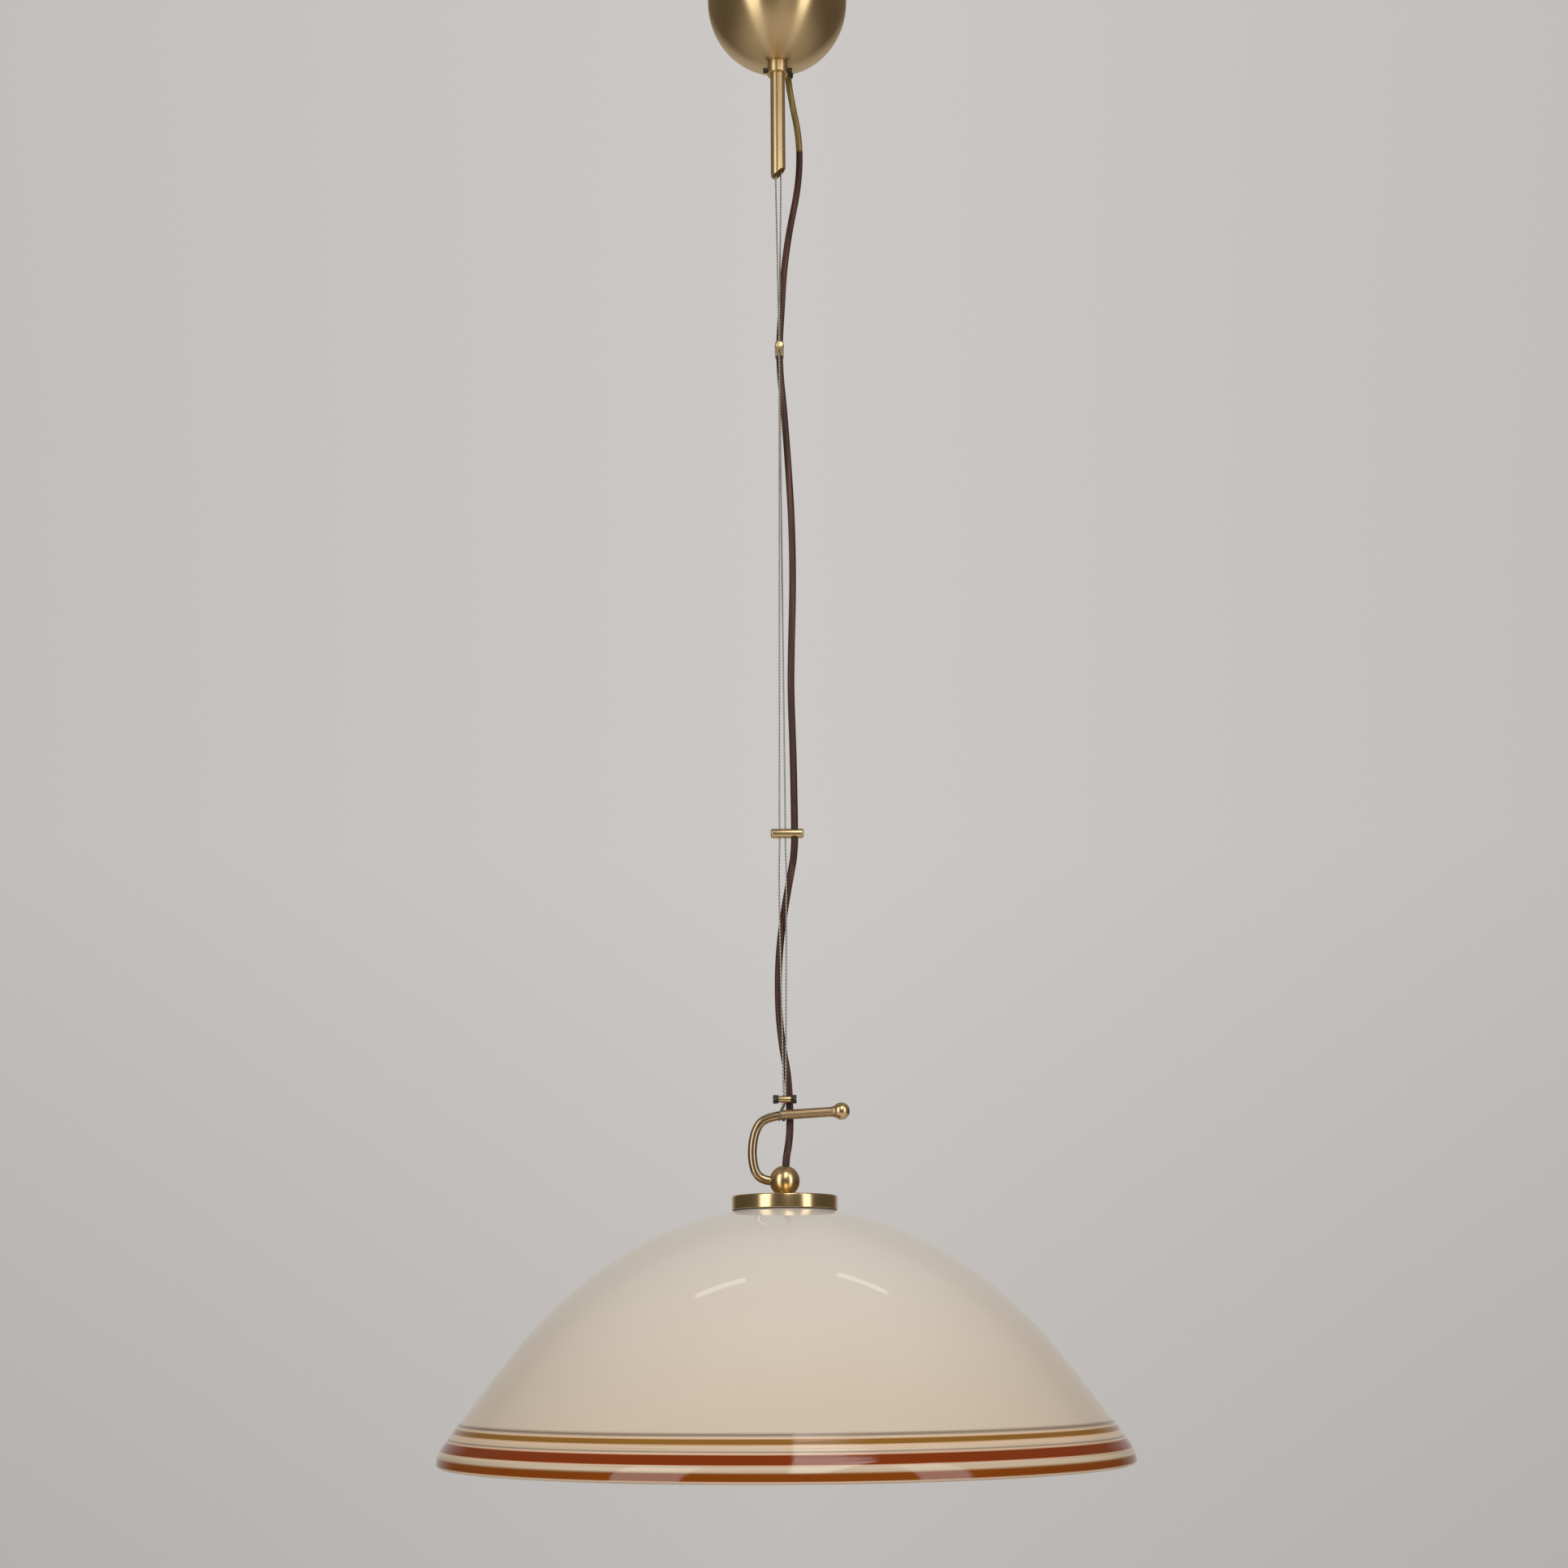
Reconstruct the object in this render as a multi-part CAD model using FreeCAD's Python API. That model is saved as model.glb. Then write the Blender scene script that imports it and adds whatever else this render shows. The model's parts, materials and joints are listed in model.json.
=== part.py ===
import FreeCAD, Part
import math
import os

# A rise and fall pendant. Millimetres, +Z up. The origin is the middle of the fitting on the ceiling
# plane, and everything hangs below it. +X is the side that the handle points to, +Y is away from the viewer.
# It is drawn pulled fully down.

V = FreeCAD.Vector

# ---- Fits ----
FIT = 0.05            # radial gap of a screw, bush or pin in its hole
TURN_GAP = 0.3        # gap between curved faces that move past each other
SEAT_GAP = 0.02       # gap between a round face and the face it rests on

# ---- Heights of the hanging pieces, as depths below the ceiling ----
STEM_END_DEPTH = 198.0
UPPER_BAR_DEPTH = 358.0
LOWER_BAR_DEPTH = 771.0
CLAMP_DEPTH = 977.0
EYE_DROP = 11.9       # from the clamp to the centre of the hook's rod, where the wire eye holds it
HOOK_REACH = 59.9     # from the rod's centre to the top of the disc
EYE_DEPTH = CLAMP_DEPTH + EYE_DROP
DISC_TOP_DEPTH = EYE_DEPTH + HOOK_REACH
CORD_ANCHOR_DEPTH = 102.0   # from here down the wires shorten as the lamp rises

# ---- Ceiling strap and reel frame ----
STRAP_LENGTH = 96.0
STRAP_WIDTH = 20.0
STRAP_THICK = 2.5
SLOT_SPACING = 70.0
SLOT_LENGTH = 12.0
SLOT_WIDTH = 5.0
STRAP_CABLE_HOLE_R = 5.0
FRAME_PLATE = 1.5
CHEEK_INNER_X = 13.0
CHEEK_FRONT = -11.0
CHEEK_BACK = 38.0
CHEEK_NECK = 9.0      # half width of a cheek where it meets the strap
FRAME_DEPTH = 62.0
LUG_LENGTH = 11.0
FRAME_SCREW_R = 2.0
FRAME_SCREW_HEAD_R = 3.6
FRAME_SCREW_HEAD = 2.2

# ---- Reel ----
WIRE_D = 1.2
WIRE_PITCH = 1.5      # from one turn to the next
WIRE_SPACING = 4.5    # between the two wires where they hang
REEL_DEPTH = 30.0
REEL_PITCH_R = 20.0   # radius of the wire's centre on the drum
REEL_CORE_GAP = 0.6   # between the wire and the bottom of its groove
GROOVE_DEPTH = 0.5
GROOVES_A_SIDE = 6
FLANGE_R = 23.0
FLANGE_THICK = 1.5
DRUM_CAVITY_R = 15.0
DRUM_WEB = 2.0
AXLE_R = 3.0
AXLE_END = 2.5        # how far the axle stands out of a cheek
CLIP_R = 5.0
CLIP_THICK = 1.0
BUSH_R = 4.5
BUSH_FLANGE_R = 6.0
BUSH_FLANGE = 0.8
COVER_R = 20.0
COVER_THICK = 1.5
COVER_SCREWS = 3
COVER_SCREW_R = 1.2
COVER_SCREW_HEAD_R = 2.3
COVER_SCREW_CIRCLE_R = 17.0
COVER_SCREW_DEPTH = 6.0
ARBOR_R = 6.0
SPRING_THICK = 0.5
SPRING_PITCH = 1.4
SPRING_TURNS = 5
SPRING_WIDTH = 14.0

# ---- Reel brake ----
BRAKE_WIDTH = 4.0
BRAKE_LEAF = 0.6
BRAKE_PAD_LENGTH = 5.0
BRAKE_PAD = 1.9
BRAKE_SCREW_R = 1.5
BRAKE_SCREW_HEAD_R = 2.8
BRAKE_SCREW_HEAD = 2.2
BRAKE_SCREW_REACH = 1.0
RIVET_R = 1.2
RIVET_HEAD = 0.8

# ---- Canopy, stem and collar ----
CANOPY_R = 60.0
CANOPY_SKIRT = 30.0   # straight part above the ball's middle
CANOPY_WALL = 1.0
STEM_R = 6.25
STEM_WALL = 1.0
STEM_TOP_DEPTH = 54.0
STEM_CUT_RISE = 8.0   # height of the slanted cut on the handle's side
STEM_CUT_RUN = 8.5
STEM_NUT_AF = 17.0
STEM_NUT = 4.0
CANOPY_HOLE_GAP = 0.35
GUIDE_HEIGHT = 6.0
GUIDE_INSET = 12.0    # of the wire guide above the stem's lower end
COLLAR_R = 8.8
COLLAR_HEIGHT = 11.0
COLLAR_CHAMFER = 0.6
SET_SCREW_R = 1.5
SET_SCREW_HEAD_R = 2.3
SET_SCREW_HEAD = 3.3
SET_SCREW_GAP = 0.2   # between the collar and the screw's head

# ---- Flex and what holds it ----
FLEX_D = 5.6
FLEX_EXIT_X = 9.0
FLEX_EXIT_Y = 24.0
CORD_BUSH_R = 4.5
CORD_BUSH_FLANGE_R = 6.3
CORD_BUSH_FLANGE = 1.6
CORD_BUSH_TOP_DEPTH = 78.0
CORD_BUSH_END_DEPTH = 87.5
FLEX_RISER_X = 19.2
FLEX_RISER_Y = 24.0
BLOCK_X = 10.0
BLOCK_Y = 20.0
BLOCK_TOP_DEPTH = 37.5
BLOCK_END_DEPTH = 47.0
BLOCK_POLES = 3
POLE_PITCH = 6.4
POLE_R = 2.4
POLE_TOWER = 2.5
POLE_SCREW_R = 1.5
CLIP_DEPTH = 51.5
CLIP_HEIGHT = 5.0
CLIP_WALL = 1.2

# ---- Spacer bars ----
BAR_R = 3.75
BAR_LENGTH = 25.6
BAR_TAIL = 9.1        # from the lamp's axis to the bar's plain end
BAR_EDGE = 0.9
FLEX_OFFSET = 9.5     # flex hole from the lamp's axis

# ---- Clamp and wire eye ----
CLAMP_X = 0.5
CLAMP_R = 2.6
CLAMP_LENGTH = 9.4
CLAMP_SCREW_HEAD_R = 3.3
CLAMP_SCREW_HEAD = 4.2
CLAMP_SCREW_SLOT = 1.0
CLAMP_SCREW_R = 1.3
CLAMP_SCREW_DEPTH = 2.4
EYE_X = -3.7
EYE_WIRE_STEP = 0.75  # half the distance between the two wires in the clamp

# ---- Hook, arm and handle ----
ROD_R = 3.4
ROD_GROOVE = 0.3
HOOK_FOOT_X = -19.4   # the rod's corners, from the ball up
HOOK_BACK_X = -24.9
HOOK_SHOULDER_X = -22.6
HOOK_TOP_X = -13.5
ARM_R = 3.65
ARM_START_X = -2.6
ARM_FLARE_R = 4.6
ARM_FLARE = 3.5
ARM_BORE = 8.0
ARM_RISE_DEG = 3.4
HANDLE_X = 43.0
HANDLE_R = 6.5
HOOK_STOP_R = 1.3
HOOK_STOP_OUT = 1.0
HOOK_STOP_X = -0.7

# ---- Junction ball and disc ----
BALL_R = 11.5
BALL_FLAT_R = 5.8     # where the ball is cut flat below
BALL_WASHER = 1.1
BALL_WASHER_R = 7.0
BALL_SOCKET = 5.0
BALL_FLEX_X = 0.8
BALL_FLEX_HOLE_R = 3.7
DISC_R = 39.5
DISC_HEIGHT = 10.3
DISC_WALL = 1.5
DISC_TOP_EDGE = 1.2
DISC_LOW_EDGE = 0.6
NIPPLE_R = 5.0
NIPPLE_BORE_R = 3.9
NIPPLE_IN_BALL = 6.0
SEAL = 0.3            # at the seal's inner edge
SEAL_WIDTH = 2.2
SLEEVE_WALL = 2.0
WASHER = 1.5
WASHER_R = 14.0

# ---- Glass shade: four tangent arcs from the crown to the lip ----
CROWN_R = 226.5
CROWN_SWEEP_DEG = 27.8
SHOULDER_R = 292.0
SHOULDER_SWEEP_DEG = 23.3
FLANK_R = 1145.0
FLANK_SWEEP_DEG = 4.2
LIP_R = 21.3
LIP_SWEEP_DEG = 32.7
GLASS_WALL = 3.5
GLASS_HOLE_R = 6.0

# ---- Below the glass ----
PLATE_R = 22.0
PLATE_THICK = 1.5
NUT_AF = 14.0
NUT_THICK = 4.0
HOLDER_R = 19.5
HOLDER_WALL = 2.0
HOLDER_NECK_R = 8.5
HOLDER_NECK = 6.0
HOLDER_CONE = 6.5
HOLDER_CAP_SKIRT = 11.0
HOLDER_SKIRT = 33.0
CORE_HEIGHT = 11.0
CORE_INSET = 3.5      # of the core's top above the joint of cap and skirt
SOCKET_R = 13.4
SOCKET_WALL = 0.6
SOCKET_LENGTH = 21.0
SOCKET_STAND = 3.0    # from the insulator's floor to the shell, clear of the centre contact
CONTACT_R = 2.2
CONTACT = 2.0
TERMINAL_R = 1.6
TERMINAL_HEAD = 1.6
TERMINAL_X = 9.0


# ---------------------------------------------------------------- shape helpers

def cylinder(radius, start, direction, length):
    return Part.makeCylinder(radius, length, start, direction)


def upright(radius, low, high, x=0.0, y=0.0):
    return cylinder(radius, V(x, y, low), V(0, 0, 1), high - low)


def ring(outer, inner, low, high, x=0.0, y=0.0):
    return upright(outer, low, high, x, y).cut(upright(inner, low - 1, high + 1, x, y))


def block(x0, x1, y0, y1, z0, z1):
    return Part.makeBox(x1 - x0, y1 - y0, z1 - z0, V(x0, y0, z0))


def lathe(outline, centre=V(0, 0, 0), axis=V(0, 0, 1)):
    """Turn a closed outline of (radius, height) points or edges about an axis through centre."""
    if isinstance(outline, list):
        corners = [V(r, 0, h) for r, h in outline]
        outline = Part.makePolygon(corners + corners[:1])
    solid = Part.Face(outline).revolve(V(0, 0, 0), V(0, 0, 1), 360)
    solid.Placement = FreeCAD.Placement(centre, FreeCAD.Rotation(V(0, 0, 1), axis))
    return solid


def smooth_path(points, radius=None, closed=False):
    """Straight runs joined by tangent arcs. Each arc is as large as its two runs allow, or has the radius."""
    corners = [V(*p) for p in points]
    count = len(corners)
    arcs = {}
    for i in range(count) if closed else range(1, count - 1):
        before, here, after = corners[i - 1], corners[i], corners[(i + 1) % count]
        back, ahead = before - here, after - here
        half_turn = (math.pi - back.getAngle(ahead)) / 2
        reach = 0.45 * min(back.Length, ahead.Length)
        if radius is not None:
            reach = min(reach, radius * math.tan(half_turn))
        bend = reach / math.tan(half_turn)
        back.normalize()
        ahead.normalize()
        middle = back + ahead
        middle.normalize()
        apex = here + middle * (bend / math.cos(half_turn) - bend)
        arcs[i] = (here + back * reach, apex, here + ahead * reach, bend)
    edges = []
    stops = list(range(count)) + ([0] if closed else [])
    for i, j in zip(stops, stops[1:]):
        leave = arcs[i][2] if i in arcs else corners[i]
        arrive = arcs[j][0] if j in arcs else corners[j]
        edges.append(Part.LineSegment(leave, arrive).toShape())
        if j in arcs and (closed or j < count - 1):
            edges.append(Part.Arc(*arcs[j][:3]).toShape())
    return Part.Wire(Part.__sortEdges__(edges)), [arc[3] for arc in arcs.values()]


def tube(points, diameter, radius=None):
    """Sweep a round section along a smooth path."""
    path, bends = smooth_path(points, radius)
    return sweep(path, V(*points[0]), V(*points[1]) - V(*points[0]), diameter), path.Length, bends


def sweep(path, start, direction, diameter):
    section = Part.Wire(Part.makeCircle(diameter / 2, start, direction))
    return path.makePipeShell([section], True, False)


def plate(points, radius, thick, origin, rotation):
    """A flat plate with rounded corners: the outline lies in local XY and is raised along local Z."""
    outline, _ = smooth_path([(x, y, 0) for x, y in points], radius, closed=True)
    solid = Part.Face(outline).extrude(V(0, 0, thick))
    solid.Placement = FreeCAD.Placement(origin, rotation)
    return solid


def hexagon(across_flats, low, high, x=0.0, y=0.0):
    corner_r = across_flats / math.sqrt(3)
    angles = [math.radians(60 * k + 30) for k in range(6)]
    corners = [V(x + corner_r * math.cos(a), y + corner_r * math.sin(a), low) for a in angles]
    outline = Part.makePolygon(corners + corners[:1])
    return Part.Face(outline).extrude(V(0, 0, high - low))


def save(name, *solids):
    shape = solids[0] if len(solids) == 1 else Part.makeCompound(list(solids))
    shape.exportStep("parts/" + name + ".step")


# ---------------------------------------------------------------- ceiling strap and reel frame

TO_YZ = FreeCAD.Rotation(V(0, 1, 0), V(0, 0, 1), V(1, 0, 0), "ZXY")   # local XY into the YZ plane
CHEEK_OUTER_X = CHEEK_INNER_X + FRAME_PLATE
LUG_SCREW_X = CHEEK_OUTER_X + LUG_LENGTH / 2


def ceiling_strap():
    low = -STRAP_THICK
    half_length, half_width = STRAP_LENGTH / 2, STRAP_WIDTH / 2
    corners = [(-half_length, -half_width), (half_length, -half_width),
               (half_length, half_width), (-half_length, half_width)]
    strap = plate(corners, 4.0, STRAP_THICK, V(0, 0, low), FreeCAD.Rotation())
    strap = strap.cut(upright(STRAP_CABLE_HOLE_R, low - 1, 1))
    slot_r = SLOT_WIDTH / 2
    for side in (-1, 1):
        strap = strap.cut(upright(FRAME_SCREW_R + FIT, low - 1, 1, side * LUG_SCREW_X))
        middle = side * SLOT_SPACING / 2
        straight = SLOT_LENGTH / 2 - slot_r
        strap = strap.cut(block(middle - straight, middle + straight, -slot_r, slot_r, low - 1, 1))
        for end in (-straight, straight):
            strap = strap.cut(upright(slot_r, low - 1, 1, middle + end))
    return strap


def reel_frame():
    top, base = -STRAP_THICK, -FRAME_DEPTH
    outline = [(-CHEEK_NECK, top), (CHEEK_NECK, top), (CHEEK_BACK, -REEL_DEPTH + AXLE_R * 4),
               (CHEEK_BACK, base), (CHEEK_FRONT, base), (CHEEK_FRONT, -REEL_DEPTH)]
    frame = block(-CHEEK_OUTER_X, CHEEK_OUTER_X, CHEEK_FRONT, CHEEK_BACK, base, base + FRAME_PLATE)
    for x in (-CHEEK_OUTER_X, CHEEK_INNER_X):
        frame = frame.fuse(plate(outline, 1.4, FRAME_PLATE, V(x, 0, 0), TO_YZ))
    for side in (-1, 1):
        near, far = side * CHEEK_INNER_X, side * (CHEEK_OUTER_X + LUG_LENGTH)
        half = CHEEK_NECK - 1.5
        lug = block(min(near, far), max(near, far), -half, half, top - FRAME_PLATE, top)
        frame = frame.fuse(lug)
        frame = frame.cut(upright(FRAME_SCREW_R + FIT, top - 5, top + 1, side * LUG_SCREW_X))
    frame = frame.cut(reel_bar(AXLE_R + FIT, -CHEEK_OUTER_X - 1, CHEEK_OUTER_X + 1))
    frame = frame.cut(upright(STEM_R + FIT, base - 1, base + 5))
    frame = frame.cut(upright(BRAKE_SCREW_R + FIT, base - 1, base + 5, BRAKE_X, BRAKE_SCREW_Y))
    frame = frame.cut(upright(RIVET_R + FIT, base - 1, base + 5, BRAKE_X, RIVET_Y))
    return frame.removeSplitter()


def frame_screws():
    low = -STRAP_THICK - FRAME_PLATE
    screws = []
    for side in (-1, 1):
        x = side * LUG_SCREW_X
        head = upright(FRAME_SCREW_HEAD_R, low - FRAME_SCREW_HEAD, low, x)
        slot = block(x - 5, x + 5, -0.5, 0.5, low - FRAME_SCREW_HEAD, low - FRAME_SCREW_HEAD + 0.9)
        screws.append(upright(FRAME_SCREW_R, low, 0, x).fuse(head).cut(slot))
    return screws


# ---------------------------------------------------------------- spring reel

REEL_CENTRE = V(0, REEL_PITCH_R, -REEL_DEPTH)
GROOVED_HALF = GROOVES_A_SIDE * WIRE_PITCH
DRUM_HALF = GROOVED_HALF + FLANGE_THICK
DRUM_CORE_R = REEL_PITCH_R - WIRE_D / 2 - REEL_CORE_GAP
LAND_R = DRUM_CORE_R + GROOVE_DEPTH


def reel_bar(radius, x0, x1):
    """A bar on the reel's axis."""
    return cylinder(radius, REEL_CENTRE + V(x0, 0, 0), V(1, 0, 0), x1 - x0)


def reel_lathe(outline):
    """Turn (radius, x) points about the reel's axis."""
    return lathe(outline, REEL_CENTRE, V(1, 0, 0))


def cover_screw_places():
    for k in range(COVER_SCREWS):
        angle = math.radians(90 + 360 * k / COVER_SCREWS)
        yield REEL_CENTRE + V(0, math.cos(angle), math.sin(angle)) * COVER_SCREW_CIRCLE_R


def reel_drum():
    outline = [(FLANGE_R, -DRUM_HALF), (FLANGE_R, -GROOVED_HALF)]
    for k in range(2 * GROOVES_A_SIDE):
        x = -GROOVED_HALF + k * WIRE_PITCH
        outline += [(LAND_R, x), (DRUM_CORE_R, x + WIRE_PITCH / 2)]
    outline += [(LAND_R, GROOVED_HALF), (FLANGE_R, GROOVED_HALF), (FLANGE_R, DRUM_HALF),
                (DRUM_CAVITY_R, DRUM_HALF), (DRUM_CAVITY_R, -DRUM_HALF + DRUM_WEB),
                (BUSH_R, -DRUM_HALF + DRUM_WEB), (BUSH_R, -DRUM_HALF)]
    drum = reel_lathe(outline)
    for place in cover_screw_places():
        start = V(DRUM_HALF - COVER_SCREW_DEPTH, place.y, place.z)
        drum = drum.cut(cylinder(COVER_SCREW_R, start, V(1, 0, 0), COVER_SCREW_DEPTH + 1))
    return drum


def drum_cover():
    outer = DRUM_HALF + COVER_THICK
    cover = reel_lathe([(BUSH_R, DRUM_HALF), (COVER_R, DRUM_HALF), (COVER_R, outer), (BUSH_R, outer)])
    for screw in cover_screws(FIT):
        cover = cover.cut(screw)
    return cover


def cover_screws(gap=0.0):
    """Countersunk screws that hold the cover on the drum."""
    outer = DRUM_HALF + COVER_THICK
    taper = COVER_SCREW_HEAD_R - COVER_SCREW_R
    low = DRUM_HALF - COVER_SCREW_DEPTH
    outline = [(0, low), (COVER_SCREW_R + gap, low), (COVER_SCREW_R + gap, outer - taper),
               (COVER_SCREW_HEAD_R + gap, outer), (0, outer)]
    return [lathe(outline, V(0, p.y, p.z), V(1, 0, 0)) for p in cover_screw_places()]


def axle_bushes():
    left_face, right_face = -DRUM_HALF, DRUM_HALF + COVER_THICK
    bore = AXLE_R + FIT
    left = reel_lathe([(bore, left_face - BUSH_FLANGE), (BUSH_FLANGE_R, left_face - BUSH_FLANGE),
                       (BUSH_FLANGE_R, left_face), (BUSH_R, left_face),
                       (BUSH_R, left_face + DRUM_WEB), (bore, left_face + DRUM_WEB)])
    right = reel_lathe([(bore, DRUM_HALF), (BUSH_R, DRUM_HALF), (BUSH_R, right_face),
                        (BUSH_FLANGE_R, right_face), (BUSH_FLANGE_R, right_face + BUSH_FLANGE),
                        (bore, right_face + BUSH_FLANGE)])
    return [left, right]


def reel_axle():
    end = CHEEK_OUTER_X + AXLE_END
    return reel_bar(AXLE_R, -end, end)


def axle_clips():
    clips = []
    for x in (-CHEEK_OUTER_X - CLIP_THICK, CHEEK_OUTER_X):
        clip = reel_bar(CLIP_R, x, x + CLIP_THICK).cut(reel_bar(AXLE_R, x - 1, x + CLIP_THICK + 1))
        mouth = block(x - 1, x + CLIP_THICK + 1, REEL_PITCH_R - 1.8, REEL_PITCH_R + 1.8,
                      -REEL_DEPTH - CLIP_R, -REEL_DEPTH)
        clips.append(clip.cut(mouth))
    return clips


def spring_arbor():
    half = SPRING_WIDTH / 2
    return reel_bar(ARBOR_R, -half, half).cut(reel_bar(AXLE_R + FIT, -half - 1, half + 1))


def spiral_spring():
    """A flat spring wound in half circles about two centres, half a pitch apart."""
    def spiral(first_r):
        edges, r, end_y = [], first_r, first_r
        for k in range(2 * SPRING_TURNS):
            side = 1 if k % 2 == 0 else -1
            centre_y = end_y - side * r
            start = V(end_y, 0, 0)
            end_y = centre_y - side * r
            edges.append(Part.Arc(start, V(centre_y, side * r, 0), V(end_y, 0, 0)).toShape())
            r += SPRING_PITCH / 2
        return edges, V(end_y, 0, 0)
    inner_r = ARBOR_R + TURN_GAP
    inner, inner_end = spiral(inner_r)
    outer, outer_end = spiral(inner_r + SPRING_THICK)
    caps = [Part.LineSegment(V(inner_r, 0, 0), V(inner_r + SPRING_THICK, 0, 0)).toShape(),
            Part.LineSegment(inner_end, outer_end).toShape()]
    outline = Part.Wire(Part.__sortEdges__(inner + outer + caps))
    spring = Part.Face(outline).extrude(V(0, 0, SPRING_WIDTH))
    spring.Placement = FreeCAD.Placement(REEL_CENTRE - V(SPRING_WIDTH / 2, 0, 0), TO_YZ)
    return spring


def drum_wire_turns():
    """The last turn of each wire, which never leaves the drum."""
    flank = math.atan2(WIRE_PITCH / 2, GROOVE_DEPTH)
    seated_r = DRUM_CORE_R + WIRE_D / 2 / math.sin(flank) + SEAT_GAP
    return [Part.makeTorus(seated_r, WIRE_D / 2, REEL_CENTRE + V(side * WIRE_PITCH / 2, 0, 0), V(1, 0, 0))
            for side in (-1, 1)]


def wire_leads():
    """From the drum, down inside the stem, to where the wires start to shorten."""
    leads = []
    for side in (-1, 1):
        x = side * WIRE_SPACING / 2
        angle = math.radians(150)
        wound_end = REEL_CENTRE + V(x, -math.cos(angle) * REEL_PITCH_R, -math.sin(angle) * REEL_PITCH_R)
        wound = Part.Arc(wound_end, REEL_CENTRE + V(x, 0, REEL_PITCH_R), V(x, 0, -REEL_DEPTH))
        hanging = Part.LineSegment(V(x, 0, -REEL_DEPTH), V(x, 0, -CORD_ANCHOR_DEPTH))
        path = Part.Wire([wound.toShape(), hanging.toShape()])
        leads.append(sweep(path, wound_end, V(0, math.sin(angle), -math.cos(angle)), WIRE_D))
    return leads


# ---------------------------------------------------------------- reel brake

BRAKE_X = DRUM_HALF - FLANGE_THICK / 2
BRAKE_SCREW_Y = REEL_PITCH_R - 1.0
RIVET_Y = CHEEK_BACK - 6.0
BASE_TOP = -FRAME_DEPTH + FRAME_PLATE
PAD_TOP = -REEL_DEPTH - FLANGE_R - TURN_GAP
PAD_LOW = PAD_TOP - BRAKE_PAD


def brake_leaf():
    pad_start = REEL_PITCH_R - BRAKE_PAD_LENGTH / 2
    pad_end = REEL_PITCH_R + BRAKE_PAD_LENGTH / 2
    foot = RIVET_Y - 4.0
    low, rise = BASE_TOP, PAD_LOW - BRAKE_LEAF
    outline = [(CHEEK_BACK - 2, low), (foot, low), (pad_end, rise), (pad_start, rise),
               (pad_start, PAD_LOW), (pad_end + 0.3, PAD_LOW), (foot + 0.3, low + BRAKE_LEAF),
               (CHEEK_BACK - 2, low + BRAKE_LEAF)]
    corners = [V(y, z, 0) for y, z in outline]
    leaf = Part.Face(Part.makePolygon(corners + corners[:1])).extrude(V(0, 0, BRAKE_WIDTH))
    leaf.Placement = FreeCAD.Placement(V(BRAKE_X - BRAKE_WIDTH / 2, 0, 0), TO_YZ)
    return leaf.cut(upright(RIVET_R + FIT, low - 1, low + 2, BRAKE_X, RIVET_Y))


def brake_pad():
    half = BRAKE_PAD_LENGTH / 2
    return block(BRAKE_X - BRAKE_WIDTH / 2, BRAKE_X + BRAKE_WIDTH / 2,
                 REEL_PITCH_R - half, REEL_PITCH_R + half, PAD_LOW, PAD_TOP)


def brake_screw():
    tip, seat = PAD_LOW - BRAKE_LEAF, -FRAME_DEPTH - BRAKE_SCREW_REACH
    x, y = BRAKE_X, BRAKE_SCREW_Y
    head = upright(BRAKE_SCREW_HEAD_R, seat - BRAKE_SCREW_HEAD, seat, x, y)
    return upright(BRAKE_SCREW_R, seat, tip, x, y).fuse(head)


def leaf_rivet():
    high, low = BASE_TOP + BRAKE_LEAF, -FRAME_DEPTH
    rivet = upright(RIVET_R, low, high, BRAKE_X, RIVET_Y)
    for start in (low - RIVET_HEAD, high):
        rivet = rivet.fuse(upright(2 * RIVET_R, start, start + RIVET_HEAD, BRAKE_X, RIVET_Y))
    return rivet


# ---------------------------------------------------------------- canopy, stem and collar

STEM_END = -STEM_END_DEPTH
STEM_BORE_R = STEM_R - STEM_WALL
CANOPY_HOLE_R = STEM_R + CANOPY_HOLE_GAP
CANOPY_LOW = -CANOPY_SKIRT - math.sqrt(CANOPY_R ** 2 - CANOPY_HOLE_R ** 2)


def canopy_bowl():
    """A ball below a straight skirt, open at the ceiling."""
    inner_r = CANOPY_R - CANOPY_WALL
    centre = -CANOPY_SKIRT

    def bowl_arc(radius):
        hole_angle = math.asin(CANOPY_HOLE_R / radius)
        middle = (math.pi / 2 - hole_angle) / 2
        end = V(CANOPY_HOLE_R, 0, centre - radius * math.cos(hole_angle))
        halfway = V(radius * math.cos(middle), 0, centre - radius * math.sin(middle))
        return Part.Arc(V(radius, 0, centre), halfway, end), end

    outer_arc, outer_end = bowl_arc(CANOPY_R)
    inner_arc, inner_end = bowl_arc(inner_r)
    edges = [Part.LineSegment(V(CANOPY_R, 0, 0), V(CANOPY_R, 0, centre)), outer_arc,
             Part.LineSegment(outer_end, inner_end), inner_arc,
             Part.LineSegment(V(inner_r, 0, centre), V(inner_r, 0, 0)),
             Part.LineSegment(V(inner_r, 0, 0), V(CANOPY_R, 0, 0))]
    outline = Part.Wire(Part.__sortEdges__([edge.toShape() for edge in edges]))
    bowl = lathe(outline)
    low = -CANOPY_R - CANOPY_SKIRT
    return bowl.cut(upright(CORD_BUSH_R + FIT, low, -CANOPY_SKIRT, FLEX_EXIT_X, FLEX_EXIT_Y))


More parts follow.
